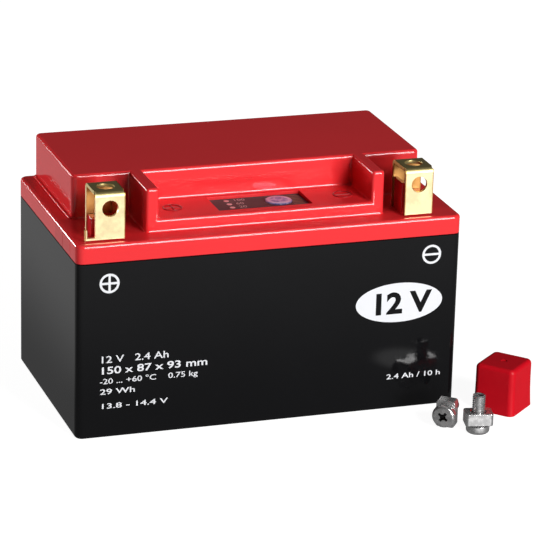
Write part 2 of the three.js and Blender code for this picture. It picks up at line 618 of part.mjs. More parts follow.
// A soft square cap, open below and slightly wider at its mouth
function terminalCap() {
  const tapered = (length, width, z, radius, edge) => {
    const geometry = geometryFrom(roundedBlock([-length / 2, length / 2], [-width / 2, width / 2], z, radius, edge));
    const place = geometry.attributes.position;
    for (let i = 0; i < place.count; i += 1) {
      const spread = 1 + (2 * CAP_FLARE / CAP_LENGTH) * (1 - place.getZ(i) / CAP_HEIGHT);
      place.setX(i, place.getX(i) * spread);
      place.setY(i, place.getY(i) * spread);
    }
    return solidFrom(geometry);
  };
  const beyond = 2 * CAP_EDGE;
  const outside = cut(tapered(CAP_LENGTH, CAP_WIDTH, [-beyond, CAP_HEIGHT], CAP_CORNER, CAP_EDGE),
    [block([-CAP_LENGTH, CAP_LENGTH], [-CAP_LENGTH, CAP_LENGTH], [-beyond - 1, 0])]);
  const inside = tapered(CAP_LENGTH - 2 * CAP_WALL, CAP_WIDTH - 2 * CAP_WALL,
    [-beyond, CAP_HEIGHT - CAP_WALL], CAP_CORNER - CAP_WALL, 0);
  return cut(outside, [inside]);
}

const FINISH = {
  case: { color: 0x1b1b1d, roughness: 0.3, metalness: 0 },
  lid: { color: 0xd7202a, roughness: 0.35, metalness: 0 },
  gold: { color: 0xe0bb62, roughness: 0.25, metalness: 1 },
  label: { color: 0x3a1d20, roughness: 0.2, metalness: 0 },
  button: { color: 0x8f93ad, roughness: 0.2, metalness: 0.6 },
  lens: { color: 0xe8b8b8, roughness: 0.15, metalness: 0 },
  black: { color: 0x222222, roughness: 0.6, metalness: 0 },
  board: { color: 0x1f5a36, roughness: 0.5, metalness: 0 },
  foam: { color: 0x3b3b3f, roughness: 0.95, metalness: 0 },
  pouch: { color: 0xb9bcc2, roughness: 0.35, metalness: 0.6 },
  copper: { color: 0xc98a55, roughness: 0.35, metalness: 1 },
  zinc: { color: 0xc9cacd, roughness: 0.28, metalness: 1 },
  cap: { color: 0xc11220, roughness: 0.45, metalness: 0 },
};

function piece(name, solid, finish) {
  const mesh = new THREE.Mesh(geometryFrom(solid), new THREE.MeshStandardMaterial(FINISH[finish]));
  mesh.name = name;
  return mesh;
}

const battery = new THREE.Group();
battery.add(piece('case_tub', caseTub(), 'case'));
battery.add(piece('lid', lid(), 'lid'));
battery.add(piece('positive_terminal', terminal(POSITIVE_X, true), 'gold'));
battery.add(piece('negative_terminal', terminal(NEGATIVE_X, false), 'gold'));
battery.add(piece('positive_seal', terminalSeal(POSITIVE_X), 'black'));
battery.add(piece('negative_seal', terminalSeal(NEGATIVE_X), 'black'));
battery.add(piece('indicator_label', indicatorLabel(), 'label'));
battery.add(piece('test_button', testButton(), 'button'));
battery.add(piece('switch_housing', switchHousing(), 'black'));
['led_high', 'led_middle', 'led_low'].forEach((name, index) => battery.add(piece(name, led(index), 'lens')));
battery.add(piece('circuit_board', circuitBoard(), 'board'));
battery.add(piece('board_screw_1', boardScrew(0), 'zinc'));
battery.add(piece('board_screw_2', boardScrew(1), 'zinc'));
battery.add(piece('sense_plug', sensePlug(), 'black'));
for (let index = 0; index < senseTargets().length; index += 1) {
  battery.add(piece(`sense_wire_${index + 1}`, senseWire(index), 'black'));
}
battery.add(piece('bottom_pad', bottomPad(), 'foam'));
battery.add(piece('front_foam', sideFoam(-1), 'foam'));
battery.add(piece('back_foam', sideFoam(1), 'foam'));
battery.add(piece('left_foam', endFoam(-1), 'foam'));
battery.add(piece('right_foam', endFoam(1), 'foam'));
for (let index = 0; index < CELL_COUNT; index += 1) {
  battery.add(piece(`cell_${index + 1}`, cell(index), 'pouch'));
}
for (let index = 0; index < CELL_COUNT - 1; index += 1) {
  battery.add(piece(`cell_pad_${index + 1}`, cellPad(index), 'foam'));
  battery.add(piece(`busbar_${index + 1}`, busbar(index), 'copper'));
}
battery.add(piece('tab_frame', tabFrame(), 'black'));
battery.add(piece('positive_lead', positiveLead(), 'copper'));
battery.add(piece('negative_lead', negativeLead(), 'copper'));

const cap = piece('terminal_cap', terminalCap(), 'cap');
cap.position.set(CAP_PLACE.x, CAP_PLACE.y, 0);
cap.rotation.z = THREE.MathUtils.degToRad(CAP_PLACE.turn);
battery.add(cap);

// One screw stands on its head with its nut run down to the head.
const upright = new THREE.Group();
const uprightNut = piece('upright_nut', oblongNut(), 'zinc');
uprightNut.position.z = HEAD_HEIGHT + GAP;
upright.add(piece('upright_screw', panScrew(), 'zinc'), uprightNut);
upright.position.set(UPRIGHT_SCREW_PLACE.x, UPRIGHT_SCREW_PLACE.y, 0);
upright.rotation.z = THREE.MathUtils.degToRad(UPRIGHT_SCREW_PLACE.turn);
battery.add(upright);

// The other lies on a short side of its nut, with its head to the front left.
const lying = new THREE.Group();
const lyingTurn = new THREE.Group();
const lyingNut = piece('flat_nut', oblongNut(), 'zinc');
lyingNut.position.z = HEAD_HEIGHT + GAP;
lyingNut.rotation.z = Math.PI / 2;
const lyingScrew = piece('flat_screw', panScrew(), 'zinc');
lyingScrew.rotation.z = THREE.MathUtils.degToRad(35);
lyingTurn.add(lyingScrew, lyingNut);
lyingTurn.rotation.x = -Math.PI / 2;
lyingTurn.position.set(0, -(HEAD_HEIGHT + GAP + NUT_THICKNESS / 2), NUT_WIDTH / 2);
lying.add(lyingTurn);
lying.position.set(FLAT_SCREW_PLACE.x, FLAT_SCREW_PLACE.y, 0);
lying.rotation.z = THREE.MathUtils.degToRad(FLAT_SCREW_PLACE.turn);
battery.add(lying);

export default battery;
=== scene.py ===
"""The looks of a rectangular motorcycle battery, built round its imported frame."""
import json
import math
from types import SimpleNamespace

import bmesh
import bpy
from bpy.props import FloatProperty, FloatVectorProperty, PointerProperty
from mathutils import Matrix, Vector


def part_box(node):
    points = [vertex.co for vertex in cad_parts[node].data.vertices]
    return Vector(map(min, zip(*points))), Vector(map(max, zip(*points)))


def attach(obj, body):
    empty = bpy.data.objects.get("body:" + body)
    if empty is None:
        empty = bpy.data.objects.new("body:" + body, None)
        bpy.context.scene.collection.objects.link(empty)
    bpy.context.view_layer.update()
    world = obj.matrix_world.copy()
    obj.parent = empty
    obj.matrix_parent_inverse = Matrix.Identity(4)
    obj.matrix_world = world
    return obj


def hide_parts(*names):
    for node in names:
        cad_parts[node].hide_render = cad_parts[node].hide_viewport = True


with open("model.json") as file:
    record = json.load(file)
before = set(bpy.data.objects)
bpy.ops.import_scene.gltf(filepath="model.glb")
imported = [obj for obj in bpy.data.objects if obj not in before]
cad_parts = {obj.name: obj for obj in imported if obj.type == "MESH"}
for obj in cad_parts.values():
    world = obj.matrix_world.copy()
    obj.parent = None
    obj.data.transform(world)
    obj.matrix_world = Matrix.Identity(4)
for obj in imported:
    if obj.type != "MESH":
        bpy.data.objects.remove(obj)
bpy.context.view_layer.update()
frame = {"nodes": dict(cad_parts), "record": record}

bl_info = {
    "name": "Motorcycle battery",
    "version": (1, 0, 0),
    "blender": (4, 5, 0),
    "location": "3D View > Sidebar > Battery",
    "description": "Case, lid, terminals, indicator and loose hardware of a motorcycle battery",
    "category": "Object",
}

MM = 0.001
UP = Vector((0, 0, 1))
GAP = 0.3  # clearance between two pieces that fit together, in millimetres


# ---------------------------------------------------------------- settings

def size(name, description, default):
    """A length in millimetres that the sidebar shows."""
    return FloatProperty(name=name, description=description, default=default, min=0.0, soft_max=200.0)


def angle(name, description, degrees):
    return FloatProperty(name=name, description=description, default=math.radians(degrees), subtype="ANGLE")


def power(name, description, watts):
    return FloatProperty(name=name, description=description, default=watts, unit="POWER")


def colour(name, description, default):
    return FloatVectorProperty(name=name, description=description, default=default, subtype="COLOR",
                               size=3, min=0.0, max=1.0)


class BatteryLidSettings(bpy.types.PropertyGroup):
    """Sizes of the stepped lid, in millimetres."""
    rim_height: size("Rim height", "Height of the band round the lid's foot", 7.2)
    corner: size("Corner radius", "Radius of the case's and the rim's upright corners", 3.0)
    rim_edge: size("Rim edge", "Radius of the rim's top edge", 1.25)
    block_side: size("Block side inset", "From the rim's side to the raised block", 6.3)
    block_setback: size("Block setback", "From the rim's front to the raised block", 31.0)
    block_corner: size("Block corner", "Radius of the block's upright corners", 2.2)
    block_edge: size("Block edge", "Radius of the block's top edge", 1.3)
    plinth_width: size("Plinth width", "How far the low step stands out beside the block", 1.2)
    plinth_rise: size("Plinth rise", "Height of the low step", 0.6)
    arm_inset: size("Arm inset", "From the rim's side to the arm's outer face", 28.5)
    arm_width: size("Arm width", "Thickness of an arm", 5.0)
    tray_setback: size("Tray setback", "From the rim's front to the tray's front", 8.5)
    tray_rise: size("Tray rise", "Height of the tray floor over the rim", 5.0)
    tray_corner: size("Tray corner", "Radius of the tray's and the arms' upright corners", 1.3)
    arm_edge: size("Arm edge", "Radius of the arms' and the tray's top edges", 1.15)
    fillet: size("Foot fillet", "Radius where a wall meets a floor", 0.7)
    wall: size("Wall", "Thickness of the moulding", 2.2)
    post_rise: size("Post rise", "Height of the nut post over the rim", 6.6)
    post_setback: size("Post setback", "From the front plate to the nut post", 2.7)
    post_step: size("Post step", "Length of the post's narrower front part", 3.0)
    stop_rise: size("Stop wall rise", "Height of the wall that stops the nut", 11.9)
    joint_line: size("Joint line", "Width and depth of the fine joint lines on the rim's left side", 0.4)


class BatteryTerminalSettings(bpy.types.PropertyGroup):
    """Sizes of the folded strip terminals, in millimetres."""
    strip: size("Strip", "Thickness of the folded strip", 1.3)
    bend: size("Bend", "Outer radius of the bends", 1.9)
    front_hole: size("Front hole", "Diameter of the hole in the front plate", 6.2)
    front_hole_drop: size("Front hole drop", "From the top to the middle of the front hole", 6.3)
    top_hole: size("Top hole", "Diameter of the hole in the top plate", 6.8)
    taper: size("Taper", "How much narrower the front plate is at its foot", 0.2)
    notch: size("Notch", "How deep the sides are cut in at the front bend", 0.4)
    edge: size("Sheared edge", "Radius of the strip's sheared edges", 0.25)


class BatteryHardwareSettings(bpy.types.PropertyGroup):
    """Sizes of the loose screws, nuts and cap, in millimetres."""
    thread: size("Thread diameter", "Outer diameter of the thread", 4.9)
    pitch: size("Pitch", "Rise of the thread in one turn", 0.8)
    head: size("Head diameter", "Diameter of the pan head", 8.9)
    head_height: size("Head height", "Height of the pan head", 3.2)
    nut_side: size("Nut side", "Across the short sides of the nut", 7.4)
    nut_thickness: size("Nut thickness", "Thickness of the nut", 4.8)
    nut_corner: size("Nut corner", "Radius of the nut's corners", 1.2)
    cap_wall: size("Cap wall", "Thickness of the rubber cap", 1.2)
    cap_length: size("Cap length", "Length of the cap's closed end", 17.5)
    cap_width: size("Cap width", "Width of the cap's closed end", 16.6)
    cap_flare: size("Cap flare", "How far the cap's mouth stands out", 0.4)


class BatteryFinishSettings(bpy.types.PropertyGroup):
    """Colours of the finishes."""
    lid_red: colour("Lid red", "Smooth moulded red", (0.86, 0.030, 0.036))
    case_black: colour("Case black", "Smooth moulded black", (0.0042, 0.0042, 0.0048))
    cap_red: colour("Cap red", "Soft vinyl red", (0.62, 0.003, 0.012))
    gold: colour("Terminal gold", "Bright plated strip", (0.98, 0.82, 0.47))
    zinc: colour("Zinc", "Bright zinc plate", (0.94, 0.93, 0.93))
    film: colour("Film", "Dark printed film", (0.030, 0.008, 0.013))
    mark_red: colour("Mark red", "Moulded signs on the tray", (0.40, 0.010, 0.014))
    print_white: colour("Print", "White print on the case", (0.82, 0.83, 0.86))


class BatteryStageSettings(bpy.types.PropertyGroup):
    """Camera and lights."""
    turn: angle("Turn", "How far round to the left the camera stands", 18.87)
    rise: angle("Rise", "How far up the camera stands", 19.50)
    roll: angle("Roll", "How far the camera is tilted", 1.55)
    distance: FloatProperty(name="Distance", description="From the camera to what it looks at",
                            default=1.1918, unit="LENGTH")
    aim: FloatVectorProperty(name="Aim", description="What the camera looks at",
                             default=(0.01593, 0.0, 0.04225), subtype="XYZ", unit="LENGTH")
    lens: FloatProperty(name="Lens", description="Focal length in millimetres", default=201.46)
    low_key: power("Low key", "Power of the lower front soft box", 15.5)
    high_key: power("High key", "Power of the upper front soft box", 11.0)
    fill: power("Fill", "Power of the soft box behind the left side", 22.0)
    overhead: power("Overhead", "Power of the soft box above", 0.8)
    sky: FloatProperty(name="Sky", description="Strength of the light from all round", default=0.04)


class BatterySettings(bpy.types.PropertyGroup):
    """All settings of the battery."""
    lid: PointerProperty(type=BatteryLidSettings)
    terminal: PointerProperty(type=BatteryTerminalSettings)
    hardware: PointerProperty(type=BatteryHardwareSettings)
    finish: PointerProperty(type=BatteryFinishSettings)
    stage: PointerProperty(type=BatteryStageSettings)


def settings():
    return bpy.context.scene.battery


# ---------------------------------------------------------------- modelling helpers

def mm_box(node):
    """A node's lowest and highest corner, in millimetres."""
    low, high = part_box(node)
    return low / MM, high / MM


def strip_half():
    """Half the width of a terminal's strip, in millimetres."""
    low, high = mm_box("negative_terminal")
    return (high.x - low.x) / 2


def lid_plan():
    """Where the lid's walls and floors stand, in millimetres; a pair is a left and a right side."""
    s = settings().lid
    low, high = mm_box("case_tub")
    plan = SimpleNamespace(left=low.x, right=high.x, front=low.y, back=high.y, foot=high.z + GAP,
                           top=mm_box("lid")[1].z)
    plan.rim = plan.foot + s.rim_height
    plan.tray = plan.rim + s.tray_rise
    plan.block = (plan.left + s.block_side, plan.right - s.block_side)
    plan.arms = (plan.left + s.arm_inset, plan.right - s.arm_inset)
    plan.between_arms = (plan.arms[0] + s.arm_width, plan.arms[1] - s.arm_width)
    plan.block_front = plan.front + s.block_setback
    plan.tray_front = plan.front + s.tray_setback
    return plan


def deselect():
    if bpy.context.object and bpy.context.object.mode != "OBJECT":
        bpy.ops.object.mode_set(mode="OBJECT")
    bpy.ops.object.select_all(action="DESELECT")


def hold(piece):
    """Makes piece the only selected object."""
    deselect()
    piece.hide_set(False)
    piece.select_set(True)
    bpy.context.view_layer.objects.active = piece
    return piece


def apply_place(piece):
    hold(piece)
    bpy.ops.object.transform_apply(location=True, rotation=True, scale=True)
    return piece


def named(name):
    """The object that an operator has just made, under its name."""
    piece = bpy.context.object
    piece.name = piece.data.name = name
    return piece


def box(name, x, y, z):
    """A plain block between two values on each axis, in millimetres."""
    deselect()
    bpy.ops.mesh.primitive_cube_add(size=1, location=[(a + b) / 2 * MM for a, b in (x, y, z)])
    piece = named(name)
    piece.scale = [abs(b - a) * MM for a, b in (x, y, z)]
    return apply_place(piece)


def bar(name, radius, middle, depth, axis="Z", sides=48):
    """A round bar along Z or Y; middle is its centre, in millimetres."""
    deselect()
    turn = {"Z": (0, 0, 0), "Y": (math.pi / 2, 0, 0)}[axis]
    bpy.ops.mesh.primitive_cylinder_add(vertices=sides, radius=radius * MM, depth=depth * MM,
                                        location=[v * MM for v in middle], rotation=turn)
    return apply_place(named(name))


def edit(piece, mode="EDGE"):
    """Opens piece with nothing selected."""
    hold(piece)
    bpy.ops.object.mode_set(mode="EDIT")
    bpy.ops.mesh.select_mode(type=mode)
    bpy.ops.mesh.select_all(action="DESELECT")
    return bmesh.from_edit_mesh(piece.data)


def pick(piece, mode, passes):
    """Opens piece and selects the edges or faces that pass."""
    mesh = edit(piece, mode)
    found = [part for part in (mesh.edges if mode == "EDGE" else mesh.faces) if passes(part)]
    for part in found:
        part.select_set(True)
    bmesh.update_edit_mesh(piece.data)
    if not found:
        raise RuntimeError(f"nothing on {piece.name} passes the test")


def pick_edges(piece, test, crease=25):
    """Selects the creased edges whose middle, in millimetres, and direction pass the test."""
    def passes(edge):
        if len(edge.link_faces) != 2 or edge.calc_face_angle(0) < math.radians(crease):
            return False
        a, b = (v.co for v in edge.verts)
        return test((a + b) / 2 / MM, (b - a).normalized())
    pick(piece, "EDGE", passes)


def pick_faces(piece, test):
    """Selects the faces whose middle, in millimetres, and normal pass the test."""
    pick(piece, "FACE", lambda face: test(face.calc_center_median() / MM, face.normal))


def pick_all():
    bpy.ops.mesh.select_all(action="SELECT")


def extrude(x, y, z):
    """Extrudes what is selected, by millimetres."""
    bpy.ops.mesh.extrude_region_move(TRANSFORM_OT_translate={"value": (x * MM, y * MM, z * MM)})


def face_out():
    """Turns every face of the open piece outwards."""
    pick_all()
    bpy.ops.mesh.normals_make_consistent(inside=False)


def close(piece):
    bpy.ops.object.mode_set(mode="OBJECT")
    return piece


def round_edges(piece, radius, segments, test, crease=25):
    pick_edges(piece, test, crease)
    bpy.ops.mesh.bevel(offset_type="OFFSET", offset=radius * MM, segments=segments, profile=0.5,
                       affect="EDGES", clamp_overlap=False)
    return close(piece)


def is_upright(middle, along):
    return abs(along.z) > 0.99


def round_box(name, x, y, z, corner, edge=0.0, foot=0.0, edge_segments=5):
    """A block with round upright corners, a round top edge and a round foot."""
    piece = box(name, x, y, z)
    round_edges(piece, corner, 8, is_upright)
    if edge:
        round_edges(piece, edge, edge_segments, lambda m, d: abs(m.z - z[1]) < 0.01)
    if foot:
        round_edges(piece, foot, edge_segments, lambda m, d: abs(m.z - z[0]) < 0.01)
    return piece


def modify(piece, kind, **options):
    """Adds a modifier, sets it and applies it."""
    hold(piece)
    bpy.ops.object.modifier_add(type=kind)
    modifier = piece.modifiers[-1]
    for name, value in options.items():
        setattr(modifier, name, value)
    bpy.ops.object.modifier_apply(modifier=modifier.name)
    return piece


def combine(piece, tools, operation):
    """Adds tools to piece, takes them away from it or keeps what they share; the tools are used up."""
    for tool in tools:
        modify(piece, "BOOLEAN", object=tool, operation=operation, solver="EXACT")
        bpy.data.objects.remove(tool)
    return piece


def unite(piece, *tools):
    return combine(piece, tools, "UNION")


def carve(piece, *tools):
    return combine(piece, tools, "DIFFERENCE")


def join(name, pieces):
    deselect()
    for piece in pieces:
        piece.select_set(True)
    bpy.context.view_layer.objects.active = pieces[0]
    bpy.ops.object.join()
    return named(name)


def copy_of(piece, name):
    twin = piece.copy()
    twin.data = piece.data.copy()
    bpy.context.scene.collection.objects.link(twin)
    twin.name = twin.data.name = name
    return twin


def tidy(piece):
    """Removes doubled points and the lines left across flat faces."""
    edit(piece)
    pick_all()
    bpy.ops.mesh.remove_doubles(threshold=0.000002)
    bpy.ops.mesh.dissolve_limited(angle_limit=math.radians(0.2))
    return close(piece)


def smooth(piece, crease=35, weighted=True):
    hold(piece)
    bpy.ops.object.shade_smooth_by_angle(angle=math.radians(crease))
    if weighted:
        modify(piece, "WEIGHTED_NORMAL", keep_sharp=True, weight=80)
    return piece


def turn_to(piece, place, turn=0.0, tilt=0.0):
    """Turns a piece about the origin, moves it to its place in millimetres, and applies both."""
    piece.rotation_euler = (tilt, 0, turn)
    piece.location = [v * MM for v in place]
    return apply_place(piece)


def fillet(name, start, end, wall, floor, radius):
    """A concave strip along start to end, in millimetres, that softens the corner between a wall and a
    floor. wall points away from the corner along the floor, and floor points up the wall."""
    deselect()
    start, end, wall, floor = Vector(start), Vector(end), Vector(wall), Vector(floor)
    bpy.ops.mesh.primitive_plane_add(size=1)
    piece = named(name)
    inside, steps = 0.12, 5
    arc = [wall * radius * (1 - math.sin(t)) + floor * radius * (1 - math.cos(t))
           for t in (math.pi / 2 * i / steps for i in range(steps + 1))]
    outline = [*arc, -wall * inside + floor * radius, -wall * inside - floor * inside,
               wall * radius - floor * inside]
    mesh = edit(piece, "FACE")
    bmesh.ops.delete(mesh, geom=mesh.verts[:], context="VERTS")
    mesh.faces.new([mesh.verts.new((start + point) * MM) for point in outline])
    mesh.faces.ensure_lookup_table()
    mesh.faces[0].select_set(True)
    bmesh.update_edit_mesh(piece.data)
    extrude(*(end - start))
    face_out()
    return close(piece)


def carry(piece, body, slot, *nodes):
    """Hands a finished piece to the frame."""
    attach(piece, body)
    if nodes:
        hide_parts(*nodes)


def paint(piece, finish):
    piece.data.materials.clear()
    piece.data.materials.append(finish)
    return piece


# ---------------------------------------------------------------- material helpers

def maths(operation, reflected=False):
    """A method that puts a Math node on a value and another, or on another and the value."""
    def method(self, other):
        first, second = (other, self) if reflected else (self, other)
        return self.finish.node("Math", {"operation": operation}, {0: first, 1: second})
    return method


class Wire:
    """A shader value that Python's operators work on."""

    def __init__(self, finish, socket):
        self.finish, self.socket = finish, socket

    def __abs__(self):
        return self.finish.node("Math", {"operation": "ABSOLUTE"}, {0: self})

    __add__, __radd__ = maths("ADD"), maths("ADD", True)
    __sub__, __rsub__ = maths("SUBTRACT"), maths("SUBTRACT", True)
    __mul__, __rmul__ = maths("MULTIPLY"), maths("MULTIPLY", True)
    __gt__, __lt__ = maths("GREATER_THAN"), maths("LESS_THAN")


class Finish:
    """A material with one surface shader."""

    def __init__(self, name, **constants):
        self.material = bpy.data.materials.new(name)
        self.material.use_nodes = True
        self.tree = self.material.node_tree
        self.tree.nodes.clear()
        self.output = self.tree.nodes.new("ShaderNodeOutputMaterial")
        self.shader = self.tree.nodes.new("ShaderNodeBsdfPrincipled")
        self.tree.links.new(self.shader.outputs[0], self.output.inputs["Surface"])
        self.set(**constants)

    def join(self, socket, value):
        if isinstance(value, Wire):
            self.tree.links.new(value.socket, socket)
        elif hasattr(value, "__len__") and socket.type == "RGBA" and len(value) == 3:
            socket.default_value = (*value, 1.0)
        else:
            socket.default_value = value

    def set(self, **sockets):
        """Sets the shader's sockets; base_color stands for Base Color."""
        for name, value in sockets.items():
            self.join(self.shader.inputs[SOCKETS[name]], value)

    def node(self, kind, options=None, inputs=None, output=0):
        """Adds a node of a kind, sets its options, then sets or links its inputs; gives back one output."""
        made = self.tree.nodes.new("ShaderNode" + kind)
        for name, value in (options or {}).items():
            if name == "stops":
                ramp = made.color_ramp
                while len(ramp.elements) < len(value):
                    ramp.elements.new(0.5)
                for element, (at, tint) in zip(ramp.elements, value):
                    element.position, element.color = at, (*tint, 1.0)
            else:
                setattr(made, name, value)
        for name, value in (inputs or {}).items():
            self.join(made.inputs[name], value)
        return Wire(self, made.outputs[output])

    def point(self):
        return self.node("TexCoord", output="Object")

    def axes(self):
        """The point's x, y and z, in metres."""
        return [self.node("SeparateXYZ", inputs={0: self.point()}, output=axis) for axis in "XYZ"]

    def measure(self, operation, *vectors):
        """A number made from vectors, such as a length."""
        return self.node("VectorMath", {"operation": operation}, dict(enumerate(vectors)), output="Value")

    def place(self, offset=(0, 0, 0), scale=(1, 1, 1)):
        """The point on the piece, moved and scaled."""
        return self.node("Mapping", inputs={"Vector": self.point(), "Location": offset, "Scale": scale})

    def noise(self, scale, detail=2.0, where=None, roughness=0.5):
        return self.node("TexNoise", inputs={"Vector": where or self.place(), "Scale": scale,
                                             "Detail": detail, "Roughness": roughness})

    def ease(self, value, start, end):
        """A smooth step between two pairs of a value and what it gives."""
        return self.node("MapRange", {"interpolation_type": "SMOOTHSTEP"},
                         {"Value": value, "From Min": start[0], "From Max": end[0], "To Min": start[1],
                          "To Max": end[1]})

    def mix(self, amount, first, second):
        """A blend of two colours."""
        return self.node("Mix", {"data_type": "RGBA"}, {0: amount, 6: first, 7: second}, output=2)

    def bump(self, height, distance, under=None):
        inputs = {"Height": height, "Distance": distance}
        if under is not None:
            inputs["Normal"] = under
        return self.node("Bump", inputs=inputs)


SOCKETS = {
    "base_color": "Base Color", "roughness": "Roughness", "metallic": "Metallic",
    "specular": "Specular IOR Level", "coat": "Coat Weight", "coat_roughness": "Coat Roughness",
    "normal": "Normal",
}


def shade(tint, amount):
    return tuple(min(1.0, c * amount) for c in tint)


def moulded(name, tint, roughness, specular, depth=0.000004, drift=0.05, deep=None):
    """A smooth moulding: faint ripples, fine pores and a slow drift of colour and gloss. deep gives painted
    shade:
    how much darker the colour is painted at a place on the piece, from 0 to 1."""
    finish = Finish(name, specular=specular)
    slow = finish.noise(28, 2)
    fine = finish.noise(900, 3)
    ripple = finish.noise(160, 1)
    ground = finish.mix(slow, shade(tint, 1 - drift), shade(tint, 1 + drift))
    # deep, where given, paints shade by mixing towards a much darker tint.
    finish.set(base_color=finish.mix(deep(finish), ground, shade(tint, 0.12)) if deep else ground,
               roughness=roughness - 0.02 + slow * 0.03 + fine * 0.03,
               normal=finish.bump(fine, depth, under=finish.bump(ripple, depth * 0.8)))
    return finish.material


def plated(name, tint, dark, roughness, scratch, metallic=1.0, deep=None):
    """Bright plated metal with fine rolling lines, dull patches and tiny pits. deep is painted shade, as for
    moulded.
    """
    finish = Finish(name, metallic=metallic)
    patches = finish.ease(finish.noise(520, 3), (0.36, 0.0), (0.64, 1.0))
    lines = finish.noise(60, 6, where=finish.place(scale=scratch), roughness=0.7)
    pits = finish.noise(2600, 2)
    ground = finish.mix(patches * 0.55 + pits * 0.2, tint, dark)
    # deep, where given, paints shade by mixing towards a much darker tint.
    finish.set(base_color=finish.mix(deep(finish), ground, shade(dark, 0.1)) if deep else ground,
               roughness=roughness - 0.05 + patches * 0.10 + lines * 0.06,
               normal=finish.bump(pits, 0.000004, under=finish.bump(lines, 0.000012)))
    return finish.material


def grained(name, specular, scale, detail, first, second, roughness, spread, depth=0.0):
    """A plain finish whose colour and gloss follow a fine grain."""
    finish = Finish(name, specular=specular)
    grain = finish.noise(scale, detail)
    finish.set(base_color=finish.mix(grain, first, second), roughness=roughness + grain * spread)
    if depth:
        finish.set(normal=finish.bump(grain, depth))
    return finish.material


def grey(level, blue=0.0):
    """A neutral colour, or one with a touch more blue."""
    return (level, level, level + blue)


# ---------------------------------------------------------------- finishes

def red_moulding():
    # Painted shade in the terminal bays darkens this red.
    return moulded("lid red moulding", settings().finish.lid_red, 0.09, 0.5, deep=painted_bay_shade)


def painted_bay_shade(finish):
    """Painted shade on the lid's red: darkest beside the arms, in the two bays behind the terminals, where
    the arms and terminals cast shadow.
    """
    plan = lid_plan()
    arm, front, block, rim = plan.arms[1], plan.tray_front, plan.block_front, plan.rim
    x, y, z = finish.axes()
    out = abs(x - (plan.left + plan.right) / 2 * MM)
    beside = (out > (arm - 0.05) * MM) * finish.ease(out, ((arm + 1) * MM, 1.0), ((arm + 14) * MM, 0.42))
    along = finish.ease(y, ((front - 1) * MM, 0.0), ((front + 5) * MM, 1.0)) * (y < (block + 0.4) * MM)
    return beside * along * finish.ease(z, ((rim - 0.5) * MM, 0.35), ((rim + 2) * MM, 0.62))


def black_moulding():
    return moulded("case black moulding", settings().finish.case_black, 0.06, 0.35, 0.000002, 0.2)


def gold_plate(node):
    """Bright mottled plate with painted shade: browner on the strip's cut sides, amber inside the fold and
    olive on top.
    """
    # Colours of the painted shade: olive on top, amber inside the fold, brown on the cut sides.
    painted_top_olive, painted_fold_amber, brown = (0.44, 0.36, 0.13), (0.60, 0.27, 0.05), (0.36, 0.17, 0.035)
    wall = 1.2 * MM
    finish = Finish(node + " gold plate", metallic=0.9)
    tint = settings().finish.gold
    low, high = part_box(node)
    patches = finish.noise(210, 5, roughness=0.6)
    lines = finish.noise(60, 6, where=finish.place(scale=(12, 12, 1)), roughness=0.7)
    x, y, z = finish.axes()
    # Painted shade on the strip's cut sides.
    edge = finish.ease(x, (low.x + 0.0001, 1.0), (low.x + 0.0006, 0.0)) + finish.ease(
        x, (high.x - 0.0006, 0.0), (high.x - 0.0001, 1.0))
    # Painted shade inside the fold.
    inside = (y > low.y + wall) * (y < high.y - wall) * (z < high.z - wall)
    # Painted shade on the top plate and its front bend.
    top = finish.ease(z, (high.z - 0.0026, 0.0), (high.z - 0.0006, 1.0))
    face = finish.mix(finish.ease(patches, (0.42, 0.0), (0.66, 1.0)), shade(tint, 0.94), shade(tint, 0.74))
    face = finish.mix(inside * 0.85, finish.mix(top * 0.8, face, painted_top_olive), painted_fold_amber)
    finish.set(base_color=finish.mix(edge * (0.55 + patches * 0.6), face, brown),
               roughness=0.34 + patches * 0.10 + lines * 0.04,
               normal=finish.bump(patches, 0.00002, under=finish.bump(lines, 0.000012)))
    return finish.material


def zinc_plate(name="zinc plate", deep=None):
    tint = settings().finish.zinc
    return plated(name, tint, shade(tint, 0.50), 0.20, (6, 6, 6), 0.9, deep)


def recess(finish, face, along):
    """Painted shade in the cross recess of a head, darkest deeper in. face is the middle of the head's face,
    in millimetres, and along is the screw's direction."""
    where = finish.node("VectorMath", {"operation": "SUBTRACT"}, {0: finish.point(), 1: face * MM})
    depth = finish.measure("DOT_PRODUCT", where, along)
    near = (depth < 2.8 * MM) * (finish.measure("LENGTH", where) < 3.0 * MM)
    return finish.ease(depth, (0.05 * MM, 0.0), (0.5 * MM, 1.0)) * near


def white_print():
    tint = settings().finish.print_white
    return grained("white print", 0.3, 2500, 3, shade(tint, 0.94), tint, 0.28, 0.1)


def white_ink():
    return grained("film ink", 0.4, 3000, 2, (0.30, 0.20, 0.20), (0.48, 0.36, 0.36), 0.3, 0.1)


def soft_vinyl():
    finish = Finish("cap red vinyl", specular=0.22)
    tint = settings().finish.cap_red
    cloud = finish.noise(120, 3)
    pores = finish.noise(1800, 4)
    finish.set(base_color=finish.mix(cloud, shade(tint, 0.92), shade(tint, 1.06)),
               roughness=0.36 + cloud * 0.08 + pores * 0.05,
               normal=finish.bump(pores, 0.00001, under=finish.bump(cloud, 0.00006)))
    return finish.material


def dark_film():
    """The indicator's film, with faint brown bars at its right end."""
    bar_width, bar_tint = 0.9 * MM, (0.14, 0.07, 0.03)
    finish = Finish("indicator film", specular=0.05)
    low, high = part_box("indicator_label")
    tint = settings().finish.film
    grain = finish.noise(700, 3)
    x, y, _ = finish.axes()
    bars = finish.node("Math", {"operation": "PINGPONG"}, {0: y - low.y, 1: bar_width}) > 0.00042
    margin = 1.6 * MM
    band = (x > high.x - 5.6 * MM) * (x < high.x - 1.2 * MM) * (y > low.y + margin) * (y < high.y - margin)
    ground = finish.mix(grain, shade(tint, 0.6), shade(tint, 1.7))
    finish.set(base_color=finish.mix(bars * band, ground, bar_tint), roughness=0.30 + grain * 0.08)
    return finish.material


